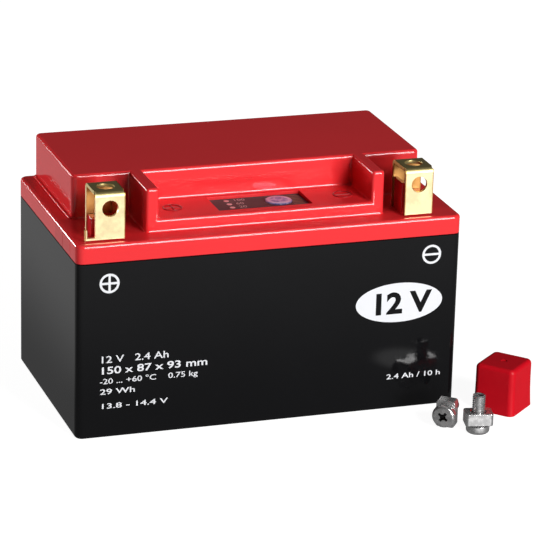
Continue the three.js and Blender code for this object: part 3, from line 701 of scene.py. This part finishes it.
def pearl_dome():
    """The test button: a silvery film, blue and lilac in the middle, with a pale ring near its edge."""
    navy, blue, lilac, slate = (0.05, 0.07, 0.32), (0.15, 0.18, 0.50), (0.40, 0.42, 0.68), (0.18, 0.20, 0.52)
    silver = (0.60, 0.54, 0.72)
    finish = Finish("test button pearl", specular=0.4, coat_roughness=0.05)
    low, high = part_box("test_button")
    middle, radius = (low + high) / 2, (high.x - low.x) / 2
    flat = finish.place(offset=(-middle.x, -middle.y, 0), scale=(1, 1, 0))
    reach = finish.measure("LENGTH", flat) * (1 / radius)
    cloud = finish.noise(420, 3)
    weave = finish.noise(1500, 1)
    centre = finish.node("ValToRGB", {"stops": [(0.3, navy), (0.5, blue), (0.62, lilac), (0.8, slate)]},
                         {0: cloud * 0.7 + weave * 0.35})
    ring = finish.ease(reach, (0.62, 0.0), (0.74, 1.0)) - finish.ease(reach, (0.90, 0.0), (0.97, 1.0))
    finish.set(base_color=finish.mix(ring * (0.5 + cloud * 0.5), centre, silver),
               roughness=0.30 + cloud * 0.12, metallic=0.15 + cloud * 0.15, coat=0.2 + cloud * 0.2)
    return finish.material


def lamp_lens():
    return grained("lamp lens", 0.5, 1500, 2, (0.55, 0.16, 0.20), (0.95, 0.60, 0.60), 0.2, 0.1)


def matt_black():
    return moulded("inner black moulding", grey(0.02, 0.002), 0.45, 0.4, 0.00001, 0.15)


def rubber():
    return grained("seal rubber", 0.3, 1500, 4, grey(0.010), (0.030, 0.029, 0.028), 0.55, 0.2, 0.00002)


def jacket():
    return grained("wire jacket", 0.35, 1500, 2, grey(0.015, 0.001), grey(0.05, 0.002), 0.4, 0.15)


def board_green():
    finish = Finish("board green", specular=0.5)
    tracks = finish.node("TexBrick", inputs={
        "Vector": finish.place(), "Scale": 300.0, "Mortar Size": 0.03, "Color1": (0.01, 0.10, 0.04, 1),
        "Color2": (0.015, 0.13, 0.055, 1), "Mortar": (0.05, 0.26, 0.10, 1)})
    finish.set(base_color=tracks, roughness=0.3 + finish.noise(800) * 0.1)
    return finish.material


def foam():
    finish = Finish("grey foam", specular=0.15)
    cells = finish.node("TexVoronoi", inputs={"Vector": finish.place(), "Scale": 900.0})
    finish.set(base_color=finish.mix(cells, grey(0.020, 0.002), grey(0.085, 0.005)),
               roughness=0.85 + cells * 0.1, normal=finish.bump(cells, 0.0001))
    return finish.material


def pouch():
    finish = Finish("pouch foil", metallic=1.0)
    dents = finish.noise(90, 4)
    grain = finish.noise(2200, 2)
    finish.set(base_color=finish.mix(dents, (0.50, 0.51, 0.54), (0.72, 0.73, 0.76)),
               roughness=0.28 + grain * 0.15, normal=finish.bump(dents, 0.0001))
    return finish.material


def copper():
    return plated("link copper", (0.90, 0.48, 0.28), (0.60, 0.27, 0.14), 0.32, (1, 14, 14))


# ---------------------------------------------------------------- operators

class BatteryOperator:
    bl_options = {"REGISTER", "UNDO"}


class BATTERY_OT_case(BatteryOperator, bpy.types.Operator):
    """Black tub with round corners, a round foot and a hollow inside"""
    bl_idname = "battery.case"
    bl_label = "Case"

    def execute(self, context):
        low, high = mm_box("case_tub")
        lid = settings().lid
        floor, foot_edge = 2.5, 1.4
        tub = round_box("case_shell", (low.x, high.x), (low.y, high.y), (low.z, high.z), lid.corner,
                        foot=foot_edge)
        pick_faces(tub, lambda m, n: n.z > 0.99)
        bpy.ops.mesh.inset(thickness=lid.wall * MM)
        extrude(0, 0, floor - high.z)
        close(tub)
        smooth(tub)
        paint(tub, black_moulding())
        carry(tub, "battery", "case_black", "case_tub")
        return {"FINISHED"}


class BATTERY_OT_lid(BatteryOperator, bpy.types.Operator):
    """Red lid: rim, plinth, raised block, tray with two arms, nut posts and the indicator's recess"""
    bl_idname = "battery.lid"
    bl_label = "Lid"

    def execute(self, context):
        s, plan = settings().lid, lid_plan()
        lid = unite(*self.bodies(s, plan))
        carve(lid, *self.hollows(s, plan))
        tidy(lid)
        lid = join("lid_shell", [lid, *self.fillets(s, plan), *self.posts(s, plan.rim)])
        smooth(lid)
        paint(lid, red_moulding())
        carry(lid, "battery", "lid_red", "lid")
        return {"FINISHED"}

    def bodies(self, s, plan):
        """The rim's block and, standing in it, the plinth, the raised block, the tray and its arms."""
        root = plan.foot + 1
        yield round_box("lid_shell", (plan.left, plan.right), (plan.front, plan.back), (plan.foot, plan.rim),
                        s.corner, s.rim_edge, 0.2)
        yield round_box("plinth", (plan.block[0] - s.plinth_width, plan.block[1] + s.plinth_width),
                        (plan.block_front, plan.back - s.rim_edge), (root, plan.rim + s.plinth_rise),
                        s.block_corner, 0.3)
        yield round_box("block", plan.block, (plan.block_front, plan.back), (root, plan.top),
                        s.block_corner, s.block_edge)
        yield round_box("tray", plan.arms, (plan.tray_front, plan.block_front + s.block_corner),
                        (root, plan.tray), s.tray_corner, s.arm_edge)
        (left, right), (inner_left, inner_right) = plan.arms, plan.between_arms
        for across in ((left, inner_left), (inner_right, right)):
            yield round_box("arm", across, (plan.tray_front, plan.block_front + s.block_edge + 2),
                            (root, plan.top), s.tray_corner, s.arm_edge)

    def hollows(self, s, plan):
        """The room under the lid, the indicator's recess, the terminals' slots and the joint lines."""
        wall, foot, rim = s.wall, plan.foot, plan.rim
        skirt, ledge = wall + GAP + 1.8, 1.4
        yield box("under_rim", (plan.left + skirt, plan.right - skirt),
                  (plan.front + skirt, plan.back - skirt), (foot - 1, rim - wall))
        yield box("under_block", (plan.block[0] + wall, plan.block[1] - wall),
                  (plan.block_front + wall, plan.back - 2 * wall), (foot - 1, plan.top - wall))
        yield box("under_tray", (plan.arms[0] + wall, plan.arms[1] - wall),
                  (plan.tray_front + wall, plan.block_front + wall + 1), (foot - 1, plan.tray - wall))
        label_low, label_high = mm_box("indicator_label")
        window = [(label_low[i] - GAP, label_high[i] + GAP) for i in range(2)]
        yield box("recess", *window, (label_low.z - GAP, plan.tray + 1))
        yield box("opening", *[(a + ledge, b - ledge) for a, b in window], (foot, plan.tray))
        half, strip = strip_half() + GAP, settings().terminal.strip
        for node in ("positive_terminal", "negative_terminal"):
            high = mm_box(node)[1]
            x = high.x - strip_half()
            yield box("slot", (x - half, x + half), (high.y - strip - GAP, high.y + GAP), (foot, rim + 2))
        line = s.joint_line
        for y, depth in ((plan.front + 20.5, line), (plan.front + 9.5, line / 2)):
            yield box("joint_line", (plan.left - 1, plan.left + depth), (y, y + line),
                      (foot - 1, rim - s.rim_edge))

    def fillets(self, s, plan):
        """A small radius along the feet of the walls and in their inner corners."""
        forward, leftward, rightward = Vector((0, -1, 0)), Vector((-1, 0, 0)), Vector((1, 0, 0))
        front, back, rim, tray = plan.tray_front, plan.block_front, plan.rim, plan.tray
        (block_left, block_right), (arm_left, arm_right) = plan.block, plan.arms
        between_left, between_right = plan.between_arms
        side, top = front + s.tray_corner, plan.top - s.block_edge
        feet = (
            (arm_left + s.tray_corner, front, arm_right - s.tray_corner, front, rim, forward),
            (between_left, back, between_right, back, tray, forward),
            (block_left + s.block_corner, back, arm_left, back, rim, forward),
            (arm_right, back, block_right - s.block_corner, back, rim, forward),
            (arm_left, side, arm_left, back, rim, leftward),
            (arm_right, side, arm_right, back, rim, rightward),
            (between_left, side, between_left, back, tray, rightward),
            (between_right, side, between_right, back, tray, leftward),
        )
        for x, y, end_x, end_y, z, out in feet:
            yield fillet("foot", (x, y, z), (end_x, end_y, z), out, UP, s.fillet)
        for x, z, out in ((arm_left, rim, leftward), (arm_right, rim, rightward),
                          (between_left, tray, rightward), (between_right, tray, leftward)):
            yield fillet("corner", (x, back, z), (x, back, top), out, forward, s.fillet)

    def posts(self, s, rim):
        """The post that carries the nut between a terminal's plates, and the wall that stops it."""
        strip, corner, edge = settings().terminal.strip, 0.4, 0.25
        top = rim + s.post_rise
        half = strip_half() - GAP
        for node, inward in (("positive_terminal", 1), ("negative_terminal", -1)):
            low, high = mm_box(node)
            x = high.x - strip_half()
            front, back = low.y + strip + s.post_setback, high.y - strip - GAP
            step = front + s.post_step
            post = round_box("nut_post", (x - half, x + half), (step, back), (rim - 1, top), corner, edge)
            nose = round_box("post_nose", (x - half + 0.9, x + half - 0.9), (front, step + 1),
                             (rim - 1.1, top - 0.5), corner, edge)
            wall = sorted((x + inward * half * 0.999, x + inward * (half - 1.4)))
            stop = round_box("nut_stop", wall, (front + 0.4, back - 0.01), (rim - 1.2, rim + s.stop_rise),
                             corner, edge)
            yield unite(post, nose, stop)


class BATTERY_OT_tray_marks(BatteryOperator, bpy.types.Operator):
    """Raised plus and minus signs on the tray floor"""
    bl_idname = "battery.tray_marks"
    bl_label = "Tray marks"

    def execute(self, context):
        height, sunk, y = 0.5, 0.2, -23.3
        z = lid_plan().tray - sunk
        material = moulded("tray mark red", settings().finish.mark_red, 0.3, 0.15)
        for name, x, bars in (("plus", -33.0, 2), ("minus", 34.0, 1)):
            mark = ring_sign("tray_mark_" + name, 3.75, 0.55, bars, height)
            round_edges(mark, 0.12, 2, lambda m, d: m.z > height - 0.1)
            turn_to(mark, (x, y, z))
            smooth(mark, weighted=False)
            carry(paint(mark, material), "battery", "lid_red")
        return {"FINISHED"}


def ring_sign(name, radius, line, bars, height):
    """A ring with one bar across, or two, lying on the origin, in millimetres."""
    ring = bar(name, radius, (0, 0, height / 2), height, sides=48)
    carve(ring, bar("inside", radius - line, (0, 0, height / 2), height * 2, sides=48))
    half = line / 2
    reach = radius - half
    strips = [box("bar", (-reach, reach), (-half, half), (0, height))]
    if bars == 2:
        strips.append(box("bar", (-half, half), (-reach, reach), (0, height)))
    return tidy(unite(ring, *strips))


class BATTERY_OT_terminals(BatteryOperator, bpy.types.Operator):
    """Two strips folded over the nut posts, with a hole in front and on top"""
    bl_idname = "battery.terminals"
    bl_label = "Terminals"

    def execute(self, context):
        for node, with_foot in (("positive_terminal", True), ("negative_terminal", False)):
            strip = self.fold(node, with_foot)
            carry(paint(strip, gold_plate(node)), "battery", "terminal_gold", node)
        return {"FINISHED"}

    def fold(self, node, with_foot):
        t = settings().terminal
        low, high = mm_box(node)
        half = strip_half()
        x = high.x - half
        bottom = lid_plan().rim + 0.6
        past = (x - half - 1, x + half + 1)
        strip = box("strip_" + node, (x - half, x + half), (low.y, high.y), (low.z, high.z))
        round_edges(strip, t.bend, 8, lambda m, d: abs(d.x) > 0.99 and abs(m.z - high.z) < 0.01)
        inner_top = high.z - t.strip
        inner = box("inside", past, (low.y + t.strip, high.y - t.strip), (low.z - 1, inner_top))
        round_edges(inner, t.bend - t.strip, 5, lambda m, d: abs(d.x) > 0.99 and m.z > inner_top - 0.01)
        below = box("below", past, (low.y - 1, low.y + t.strip + 2), (low.z - 1, bottom))
        holes = [
            bar("front_hole", t.front_hole / 2, (x, low.y, high.z - t.front_hole_drop), 4, "Y", 56),
            bar("top_hole", t.top_hole / 2, (x, (low.y + high.y) / 2, high.z), 4, "Z", 56),
        ]
        for side in (-1, 1):
            cut = sorted((x + side * (half - t.notch), x + side * (half + 1)))
            notch = box("notch", cut, (low.y + t.bend * 0.25, low.y + t.bend * 1.3),
                        (high.z - t.bend * 0.9, high.z + 1))
            holes.append(round_edges(notch, 0.3, 3, lambda m, d: abs(d.x) < 0.01
                                     and abs(m.x - cut[side < 0]) < 10))
        carve(strip, inner, below, *holes)
        mesh = edit(strip, "VERT")
        for v in mesh.verts:
            p = v.co / MM
            if p.y < low.y + t.strip + 0.1 and p.z < high.z - 12:
                v.co.x = (x + (p.x - x) * (1 - t.taper / 2 / half)) * MM
        bmesh.update_edit_mesh(strip.data)
        close(strip)
        if with_foot:
            end, thin = low.x, t.strip * 0.6
            front = (low.y, low.y + t.strip)
            unite(strip, box("tab", (end, x - half + 1), front, (bottom, bottom + thin)),
                  box("upturn", (end, end + thin), front, (bottom, bottom + 4)))
        tidy(strip)
        modify(strip, "BEVEL", width=t.edge * MM, segments=2, limit_method="ANGLE",
               angle_limit=math.radians(50), use_clamp_overlap=True)
        return smooth(strip, 40)


class BATTERY_OT_indicator(BatteryOperator, bpy.types.Operator):
    """Film with three lamp windows and plain numbers beside them"""
    bl_idname = "battery.indicator"
    bl_label = "Indicator"

    def execute(self, context):
        low, high = mm_box("indicator_label")
        button_low, button_high = mm_box("test_button")
        middle, radius = (button_low + button_high) / 2, (button_high.x - button_low.x) / 2
        film = round_box("indicator_film", (low.x, high.x), (low.y, high.y), (low.z, high.z), 0.8, 0.08)
        carve(film, bar("hole", radius + 0.2, (middle.x, middle.y, high.z), 4, sides=64))
        smooth(film, weighted=False)
        carry(paint(film, dark_film()), "battery", "label_film", "indicator_label")
        lens, ink = lamp_lens(), white_ink()
        for node, words in (("led_high", "100"), ("led_middle", "60"), ("led_low", "20")):
            led_low, led_high = mm_box(node)
            x, y = (led_low.x + led_high.x) / 2, (led_low.y + led_high.y) / 2
            window = bar("window_" + node, 1.05, (x, y, high.z + 0.02), 0.08, sides=32)
            round_edges(window, 0.03, 2, lambda m, d: m.z > high.z + 0.04)
            smooth(window, weighted=False)
            carry(paint(window, lens), "battery", "lamp_lens")
            number = lettering("number_" + node, words, 2.3, 0.05)
            turn_to(number, (x + 2.6, y - 0.8, high.z + 0.01))
            carry(paint(number, ink), "battery", "label_film")
        return {"FINISHED"}


CAPITAL = 0.73  # a capital's height as a share of the type size


def lettering(name, words, height, thickness, width=0.0, weight=0.0):
    """Plain characters as a mesh that lies on the origin and reads along +X; sizes in millimetres."""
    deselect()
    bpy.ops.object.text_add(location=(0, 0, 0))
    text = bpy.context.object
    text.data.body = words
    text.data.size = height / CAPITAL * MM
    text.data.extrude = thickness / 2 * MM
    text.data.offset = weight * MM
    text.data.resolution_u = 4
    bpy.ops.object.convert(target="MESH")
    piece = named(name)
    if width:
        across = [v.co.x for v in piece.data.vertices]
        piece.scale = (width * MM / (max(across) - min(across)), 1, 1)
        apply_place(piece)
    return piece


class BATTERY_OT_button(BatteryOperator, bpy.types.Operator):
    """Domed test button with a stem under it"""
    bl_idname = "battery.button"
    bl_label = "Test button"

    def execute(self, context):
        low, high = mm_box("test_button")
        middle = (low + high) / 2
        radius = (high.x - low.x) / 2
        deselect()
        bpy.ops.mesh.primitive_circle_add(vertices=64, radius=radius * MM, fill_type="NGON",
                                          location=(middle.x * MM, middle.y * MM, (high.z - 0.8) * MM))
        dome = apply_place(named("button_dome"))
        pick_faces(dome, lambda m, n: True)
        extrude(0, 0, 0.45)
        for inset, rise in ((0.18, 0.12), (0.5, 0.12), (1.1, 0.08), (1.6, 0.03)):
            bpy.ops.mesh.inset(thickness=inset * MM)
            bpy.ops.transform.translate(value=(0, 0, rise * MM))
        face_out()
        close(dome)
        stem_top = high.z - 0.7
        stem = bar("stem", 1.5, (middle.x, middle.y, (low.z + stem_top) / 2), stem_top - low.z, sides=24)
        dome = join("button_dome", [dome, stem])
        smooth(dome, 50, weighted=False)
        carry(paint(dome, pearl_dome()), "button", "button_film", "test_button")
        return {"FINISHED"}


class BATTERY_OT_print(BatteryOperator, bpy.types.Operator):
    """White plus and minus signs, plain ratings and an oval badge on the case's front"""
    bl_idname = "battery.print"
    bl_label = "Front print"

    def execute(self, context):
        front = mm_box("case_tub")[0].y
        upright = math.pi / 2
        thick, badge_x, badge_z = 0.04, 50.9, 43.2
        made = []
        for name, x, z, bars in (("plus", -62.6, 60.8, 2), ("minus", 63.3, 61.4, 1)):
            sign = ring_sign("print_" + name, 3.8, 0.88, bars, thick)
            made.append(turn_to(sign, (x, front - 0.005, z), tilt=upright))
        lines = (
            ("12 V   2.4 Ah", 2.8, (-66.3, 29.8), 25.6, 0.03),
            ("150 x 87 x 93 mm", 2.9, (-66.3, 25.4), 40.6, 0.06),
            ("-20 ... +60 °C    0.75 kg", 2.2, (-66.2, 21.5), 37.8, 0.02),
            ("29 Wh", 2.2, (-66.1, 17.4), 13.4, 0.03),
            ("13.8 - 14.4 V", 2.1, (-66.1, 11.7), 25.4, 0.03),
            ("2.4 Ah / 10 h", 2.1, (46.9, 12.3), 21.8, 0.03),
        )
        for words, height, (x, z), width, weight in lines:
            line = lettering("print_line", words, height, thick, width, weight)
            made.append(turn_to(line, (x, front - 0.02, z), tilt=upright))
        badge = bar("print_badge", 17.4, (0, 0, thick / 2), thick, sides=96)
        badge.scale = (1, 0.45, 1)
        apply_place(badge)
        made.append(turn_to(badge, (badge_x, front - 0.005, badge_z), tilt=upright))
        carry(paint(join("front_print", made), white_print()), "battery", "case_black")
        volts = lettering("badge_number", "12 V", 8.4, thick, 22.5, 0.42)
        turn_to(volts, (badge_x - 11.4, front - 0.06, badge_z - 4.1), tilt=upright)
        carry(paint(volts, black_moulding()), "battery", "case_black")
        return {"FINISHED"}


class BATTERY_OT_cap(BatteryOperator, bpy.types.Operator):
    """Soft red cap with round edges, a flared mouth and a dimple on top"""
    bl_idname = "battery.cap"
    bl_label = "Cap"

    def execute(self, context):
        s = settings().hardware
        low, high = mm_box("terminal_cap")
        middle = (low + high) / 2
        length, width, height = s.cap_length, s.cap_width, high.z - low.z
        lip, turn = 0.3, math.radians(42)
        cap = box("cap_boot", (-length / 2, length / 2), (-width / 2, width / 2), (0, height))
        round_edges(cap, 2.3, 8, is_upright)
        round_edges(cap, 1.7, 6, lambda m, d: m.z > height - 0.01)
        pick_faces(cap, lambda m, n: n.z < -0.99)
        for inset in (lip, s.cap_wall - lip):
            bpy.ops.mesh.inset(thickness=inset * MM)
        extrude(0, 0, height - s.cap_wall)
        close(cap)
        edit(cap)
        pick_all()
        for share in (0.12, 0.35, 0.6):
            bpy.ops.mesh.bisect(plane_co=(0, 0, height * share * MM), plane_no=(0, 0, 1))
            pick_all()
        mesh = bmesh.from_edit_mesh(cap.data)
        for v in mesh.verts:
            down = max(0.0, 1 - v.co.z / (height * 0.62 * MM))
            grow = 1 + 2 * s.cap_flare / width * down ** 2
            v.co.x *= grow
            v.co.y *= grow
        bmesh.update_edit_mesh(cap.data)
        close(cap)
        carve(cap, bar("dimple", 1.2, (0, 0, height), 0.5, sides=32))
        smooth(cap, 40)
        turn_to(cap, (middle.x, middle.y, low.z), turn=turn)
        carry(paint(cap, soft_vinyl()), "cap", "cap_red", "terminal_cap")
        return {"FINISHED"}


def oblong_nut(name):
    """A nut that lies on the origin, its hole along Z and its long side along X, in millimetres."""
    s = settings().hardware
    low, high = mm_box("flat_nut")
    width, side, edge = high.z - low.z, s.nut_side, 0.3
    nut = round_box(name, (-width / 2, width / 2), (-side / 2, side / 2), (0, s.nut_thickness),
                    s.nut_corner, edge, edge, edge_segments=3)
    carve(nut, bar("bore", s.thread / 2 + GAP, (0, 0, s.nut_thickness / 2), s.nut_thickness + 2, sides=40))
    round_edges(nut, edge, 1, lambda m, d: math.hypot(m.x, m.y) < s.thread / 2 + 0.5, crease=60)
    return smooth(nut, 40)


def cross_head_screw(name, length):
    """A pan head screw that stands on its head: head from 0, thread upwards, in millimetres."""
    s = settings().hardware
    radius = s.head / 2
    head = bar(name, radius, (0, 0, s.head_height / 2), s.head_height, sides=64)
    round_edges(head, 1.25, 6, lambda m, d: m.z < 0.01)
    round_edges(head, 0.25, 2, lambda m, d: m.z > s.head_height - 0.01)
    reach, half, deep = 2.5, 0.65, 1.9
    cross = []
    for x, y in ((reach, half), (half, reach)):
        blade = box("blade", (-x, x), (-y, y), (-1, deep))
        pick_faces(blade, lambda m, n: n.z > 0.9)
        bpy.ops.transform.resize(value=(0.55, 0.55, 1))
        cross.append(close(blade))
    carve(head, *cross, bar("centre", 1.15, (0, 0, 0), 2.6, sides=24))
    thread = helical_thread("thread", s.thread / 2, s.pitch, s.head_height - 0.2, length)
    smooth(head, 40)
    smooth(thread, 30, weighted=False)
    return join(name, [head, thread])


def helical_thread(name, radius, pitch, start, end):
    """A ridge wound round a core, cut flat at its foot and chamfered at its end."""
    depth = pitch * 0.54
    deselect()
    bpy.ops.mesh.primitive_plane_add(size=1)
    thread = named(name)
    mesh = edit(thread)
    bmesh.ops.delete(mesh, geom=mesh.verts[:], context="VERTS")
    profile = ((-depth, 0.0), (-depth, 0.12), (0.0, 0.45), (0.0, 0.55), (-depth, 0.88), (-depth, 1.0))
    points = [mesh.verts.new(((radius + r) * MM, 0, (start - 2 * pitch + z * pitch) * MM))
              for r, z in profile]
    for a, b in zip(points, points[1:]):
        mesh.edges.new((a, b))
    bmesh.update_edit_mesh(thread.data)
    close(thread)
    turns = math.ceil((end - start) / pitch) + 4
    same = 0.000005
    modify(thread, "SCREW", screw_offset=pitch * MM, iterations=turns, steps=36, render_steps=36,
           use_merge_vertices=True, merge_threshold=same)
    edit(thread)
    pick_all()
    bpy.ops.mesh.remove_doubles(threshold=same)
    for z, side in ((start, {"clear_inner": True}), (end, {"clear_outer": True})):
        pick_all()
        bpy.ops.mesh.bisect(plane_co=(0, 0, z * MM), plane_no=(0, 0, 1), use_fill=True, **side)
    face_out()
    close(thread)
    limit = bar("limit", radius + 0.5, (0, 0, (start + end) / 2), end - start + 0.02, sides=36)
    round_edges(limit, 1.1, 3, lambda m, d: m.z > end)
    return combine(thread, [limit], "INTERSECT")


class BATTERY_OT_hardware(BatteryOperator, bpy.types.Operator):
    """Two pan head screws, each in an oblong nut: one stands on its head, one lies on its nut"""
    bl_idname = "battery.hardware"
    bl_label = "Screws and nuts"

    def execute(self, context):
        zinc = zinc_plate()
        standing, lying = math.radians(-12), math.radians(35)
        low, high = mm_box("upright_screw")
        screw = cross_head_screw("upright_bolt", high.z - low.z)
        nut = oblong_nut("upright_oblong_nut")
        lying_screw = turn_to(copy_of(screw, "flat_bolt"), (0, 0, 0), turn=lying)
        lying_nut = turn_to(copy_of(nut, "flat_oblong_nut"), (0, 0, 0), turn=math.pi / 2)
        place = (low + high) / 2
        turn_to(screw, (place.x, place.y, low.z), turn=standing)
        turn_to(nut, (place.x, place.y, mm_box("upright_nut")[0].z), turn=standing)
        face, along = self.lay(lying_screw, lying_nut)
        # The lying screw's head gets painted shade in its cross recess.
        zinc_with_painted_recess_shade = zinc_plate("zinc plate with painted recess shade", lambda finish: recess(finish, face, along))
        for piece, body, finish in ((screw, "upright_screw", zinc), (nut, "upright_nut", zinc),
                                    (lying_screw, "flat_screw", zinc_with_painted_recess_shade), (lying_nut, "flat_nut", zinc)):
            carry(paint(piece, finish), body, "hardware_zinc", body)
        return {"FINISHED"}

    def lay(self, screw, nut):
        """Lays a screw and its nut on a short side of the nut, with the head to the front left. Gives back
        the middle of the head's face, in millimetres, and the screw's direction."""
        turn = math.radians(-37)
        along = Vector((-math.sin(turn), math.cos(turn), 0))
        low, high = mm_box("flat_nut")
        nut_start = (low + high) / 2 - along * settings().hardware.nut_thickness / 2
        head_to_nut = mm_box("upright_nut")[0].z - mm_box("upright_screw")[0].z
        turn_to(nut, nut_start, turn=turn, tilt=-math.pi / 2)
        face = nut_start - along * head_to_nut
        turn_to(screw, face, turn=turn, tilt=-math.pi / 2)
        return face, along


class BATTERY_OT_inner_parts(BatteryOperator, bpy.types.Operator):
    """Finishes for the parts that are taken over from the frame"""
    bl_idname = "battery.inner_parts"
    bl_label = "Inner parts"

    def execute(self, context):
        finishes = {
            "seal_rubber": rubber(), "part_black": matt_black(), "board_green": board_green(),
            "hardware_zinc": zinc_plate(), "wire_jacket": jacket(), "foam_grey": foam(),
            "cell_pouch": pouch(), "link_copper": copper(), "lamp_lens": lamp_lens(),
        }
        slots = {part["node"]: part["material_slot"] for part in frame["record"]["subparts"]}
        for name, node in frame["nodes"].items():
            if not node.hide_render:
                node.data.materials.clear()
                node.data.materials.append(finishes[slots[name]])
        return {"FINISHED"}


class BATTERY_OT_stage(BatteryOperator, bpy.types.Operator):
    """Pale floor, soft boxes, sky and camera"""
    bl_idname = "battery.stage"
    bl_label = "Stage"

    def execute(self, context):
        s = settings().stage
        self.floor()
        self.soft_box("low_key", (0.485, -1.419, 0.245), (0.475, 0.44), s.low_key)
        self.soft_box("high_key", (0.418, -1.223, 0.81), (0.475, 0.39), s.high_key)
        self.soft_box("fill", (-1.05, 1.2, 0.2), (0.9, 0.36), s.fill)
        self.soft_box("overhead", (0.0, -0.1, 1.5), (1.2, 1.0), s.overhead)
        self.sky(s.sky)
        self.camera(s)
        context.scene.view_settings.view_transform = "Standard"
        return {"FINISHED"}

    def floor(self):
        """A white floor that takes shadows. Glossy pieces see it dark in front of the object, as if it ended
        in a dark room, bright just before the loose hardware, and bright behind the left side."""
        hardware_front = (0.0725, -0.0925, 0)
        deselect()
        bpy.ops.mesh.primitive_plane_add(size=12, location=(0, 0, 0))
        floor = bpy.context.object
        floor.name = "floor"
        finish = Finish("white floor", base_color=grey(0.35), roughness=1.0, specular=0.0)
        rays = {name: finish.node("LightPath", output=name)
                for name in ("Is Camera Ray", "Is Glossy Ray", "Is Transmission Ray")}
        finish.shader.inputs["Emission Color"].default_value = (1, 1, 1, 1)
        finish.join(finish.shader.inputs["Emission Strength"], rays["Is Camera Ray"] * 0.93)
        x, y, _ = finish.axes()
        ahead = finish.ease(y, (-0.26, 0.42), (-0.05, 0.15))
        behind = finish.ease(y, (-0.035, 0.0), (0.03, 1.0))
        beside = finish.ease(abs(x), (0.078, 0.15), (0.12, 0.33))
        lit = finish.ease(finish.measure("DISTANCE", finish.point(), hardware_front),
                          (0.007, 0.66), (0.0145, 0.0))
        mirrored = ahead * (1 - behind) + behind * beside + lit
        glow = finish.node("Emission", inputs={"Color": (1, 1, 1, 1), "Strength": mirrored})
        either = finish.node("MixShader", inputs={0: rays["Is Glossy Ray"] + rays["Is Transmission Ray"],
                                                  1: Wire(finish, finish.shader.outputs[0]), 2: glow})
        finish.join(finish.output.inputs["Surface"], either)
        paint(floor, finish.material)

    def soft_box(self, name, place, spread, power):
        deselect()
        bpy.ops.object.light_add(type="AREA", location=place)
        lamp = bpy.context.object
        lamp.name = name
        lamp.data.shape = "RECTANGLE"
        lamp.data.size, lamp.data.size_y = spread
        lamp.data.energy = power
        lamp.rotation_euler = (Vector((0, 0, 0.05)) - Vector(place)).to_track_quat("-Z", "Y").to_euler()

    def sky(self, strength):
        """White where the camera sees it, and dim as light."""
        world = bpy.data.worlds.new("studio")
        bpy.context.scene.world = world
        world.use_nodes = True
        nodes, links = world.node_tree.nodes, world.node_tree.links
        nodes.clear()
        out = nodes.new("ShaderNodeOutputWorld")
        rays = nodes.new("ShaderNodeLightPath")
        choice = nodes.new("ShaderNodeMixShader")
        links.new(rays.outputs["Is Camera Ray"], choice.inputs[0])
        for socket, level in ((1, strength), (2, 1.0)):
            glow = nodes.new("ShaderNodeBackground")
            glow.inputs["Color"].default_value = (1, 1, 1, 1)
            glow.inputs["Strength"].default_value = level
            links.new(glow.outputs[0], choice.inputs[socket])
        links.new(choice.outputs[0], out.inputs["Surface"])

    def camera(self, s):
        deselect()
        bpy.ops.object.camera_add()
        camera = bpy.context.object
        ahead = Vector((math.sin(s.turn) * math.cos(s.rise), math.cos(s.turn) * math.cos(s.rise),
                        -math.sin(s.rise)))
        level = Vector((math.cos(s.turn), -math.sin(s.turn), 0))
        over = level.cross(ahead)
        across = level * math.cos(s.roll) + over * math.sin(s.roll)
        up = over * math.cos(s.roll) - level * math.sin(s.roll)
        place = Vector(s.aim) - ahead * s.distance
        turn = Matrix((across, up, -ahead)).transposed().to_4x4()
        camera.matrix_world = Matrix.Translation(place) @ turn
        camera.data.sensor_width = 36
        camera.data.lens = s.lens
        camera.data.clip_end = 50
        bpy.context.scene.camera = camera


class BATTERY_PT_panel(bpy.types.Panel):
    """Lists the battery's pieces"""
    bl_idname = "BATTERY_PT_panel"
    bl_label = "Motorcycle battery"
    bl_space_type = "VIEW_3D"
    bl_region_type = "UI"
    bl_category = "Battery"

    def draw(self, context):
        for operator in OPERATORS:
            self.layout.operator(operator.bl_idname)


OPERATORS = (
    BATTERY_OT_case,
    BATTERY_OT_lid,
    BATTERY_OT_tray_marks,
    BATTERY_OT_terminals,
    BATTERY_OT_indicator,
    BATTERY_OT_button,
    BATTERY_OT_print,
    BATTERY_OT_cap,
    BATTERY_OT_hardware,
    BATTERY_OT_inner_parts,
    BATTERY_OT_stage,
)

CLASSES = (
    BatteryLidSettings,
    BatteryTerminalSettings,
    BatteryHardwareSettings,
    BatteryFinishSettings,
    BatteryStageSettings,
    BatterySettings,
    *OPERATORS,
    BATTERY_PT_panel,
)


def register():
    for item in CLASSES:
        bpy.utils.register_class(item)
    bpy.types.Scene.battery = PointerProperty(type=BatterySettings)


def unregister():
    del bpy.types.Scene.battery
    for item in reversed(CLASSES):
        bpy.utils.unregister_class(item)


def main():
    register()
    for operator in OPERATORS:
        group, name = operator.bl_idname.split(".")
        getattr(getattr(bpy.ops, group), name)()
    deselect()


if __name__ == "__main__":
    main()
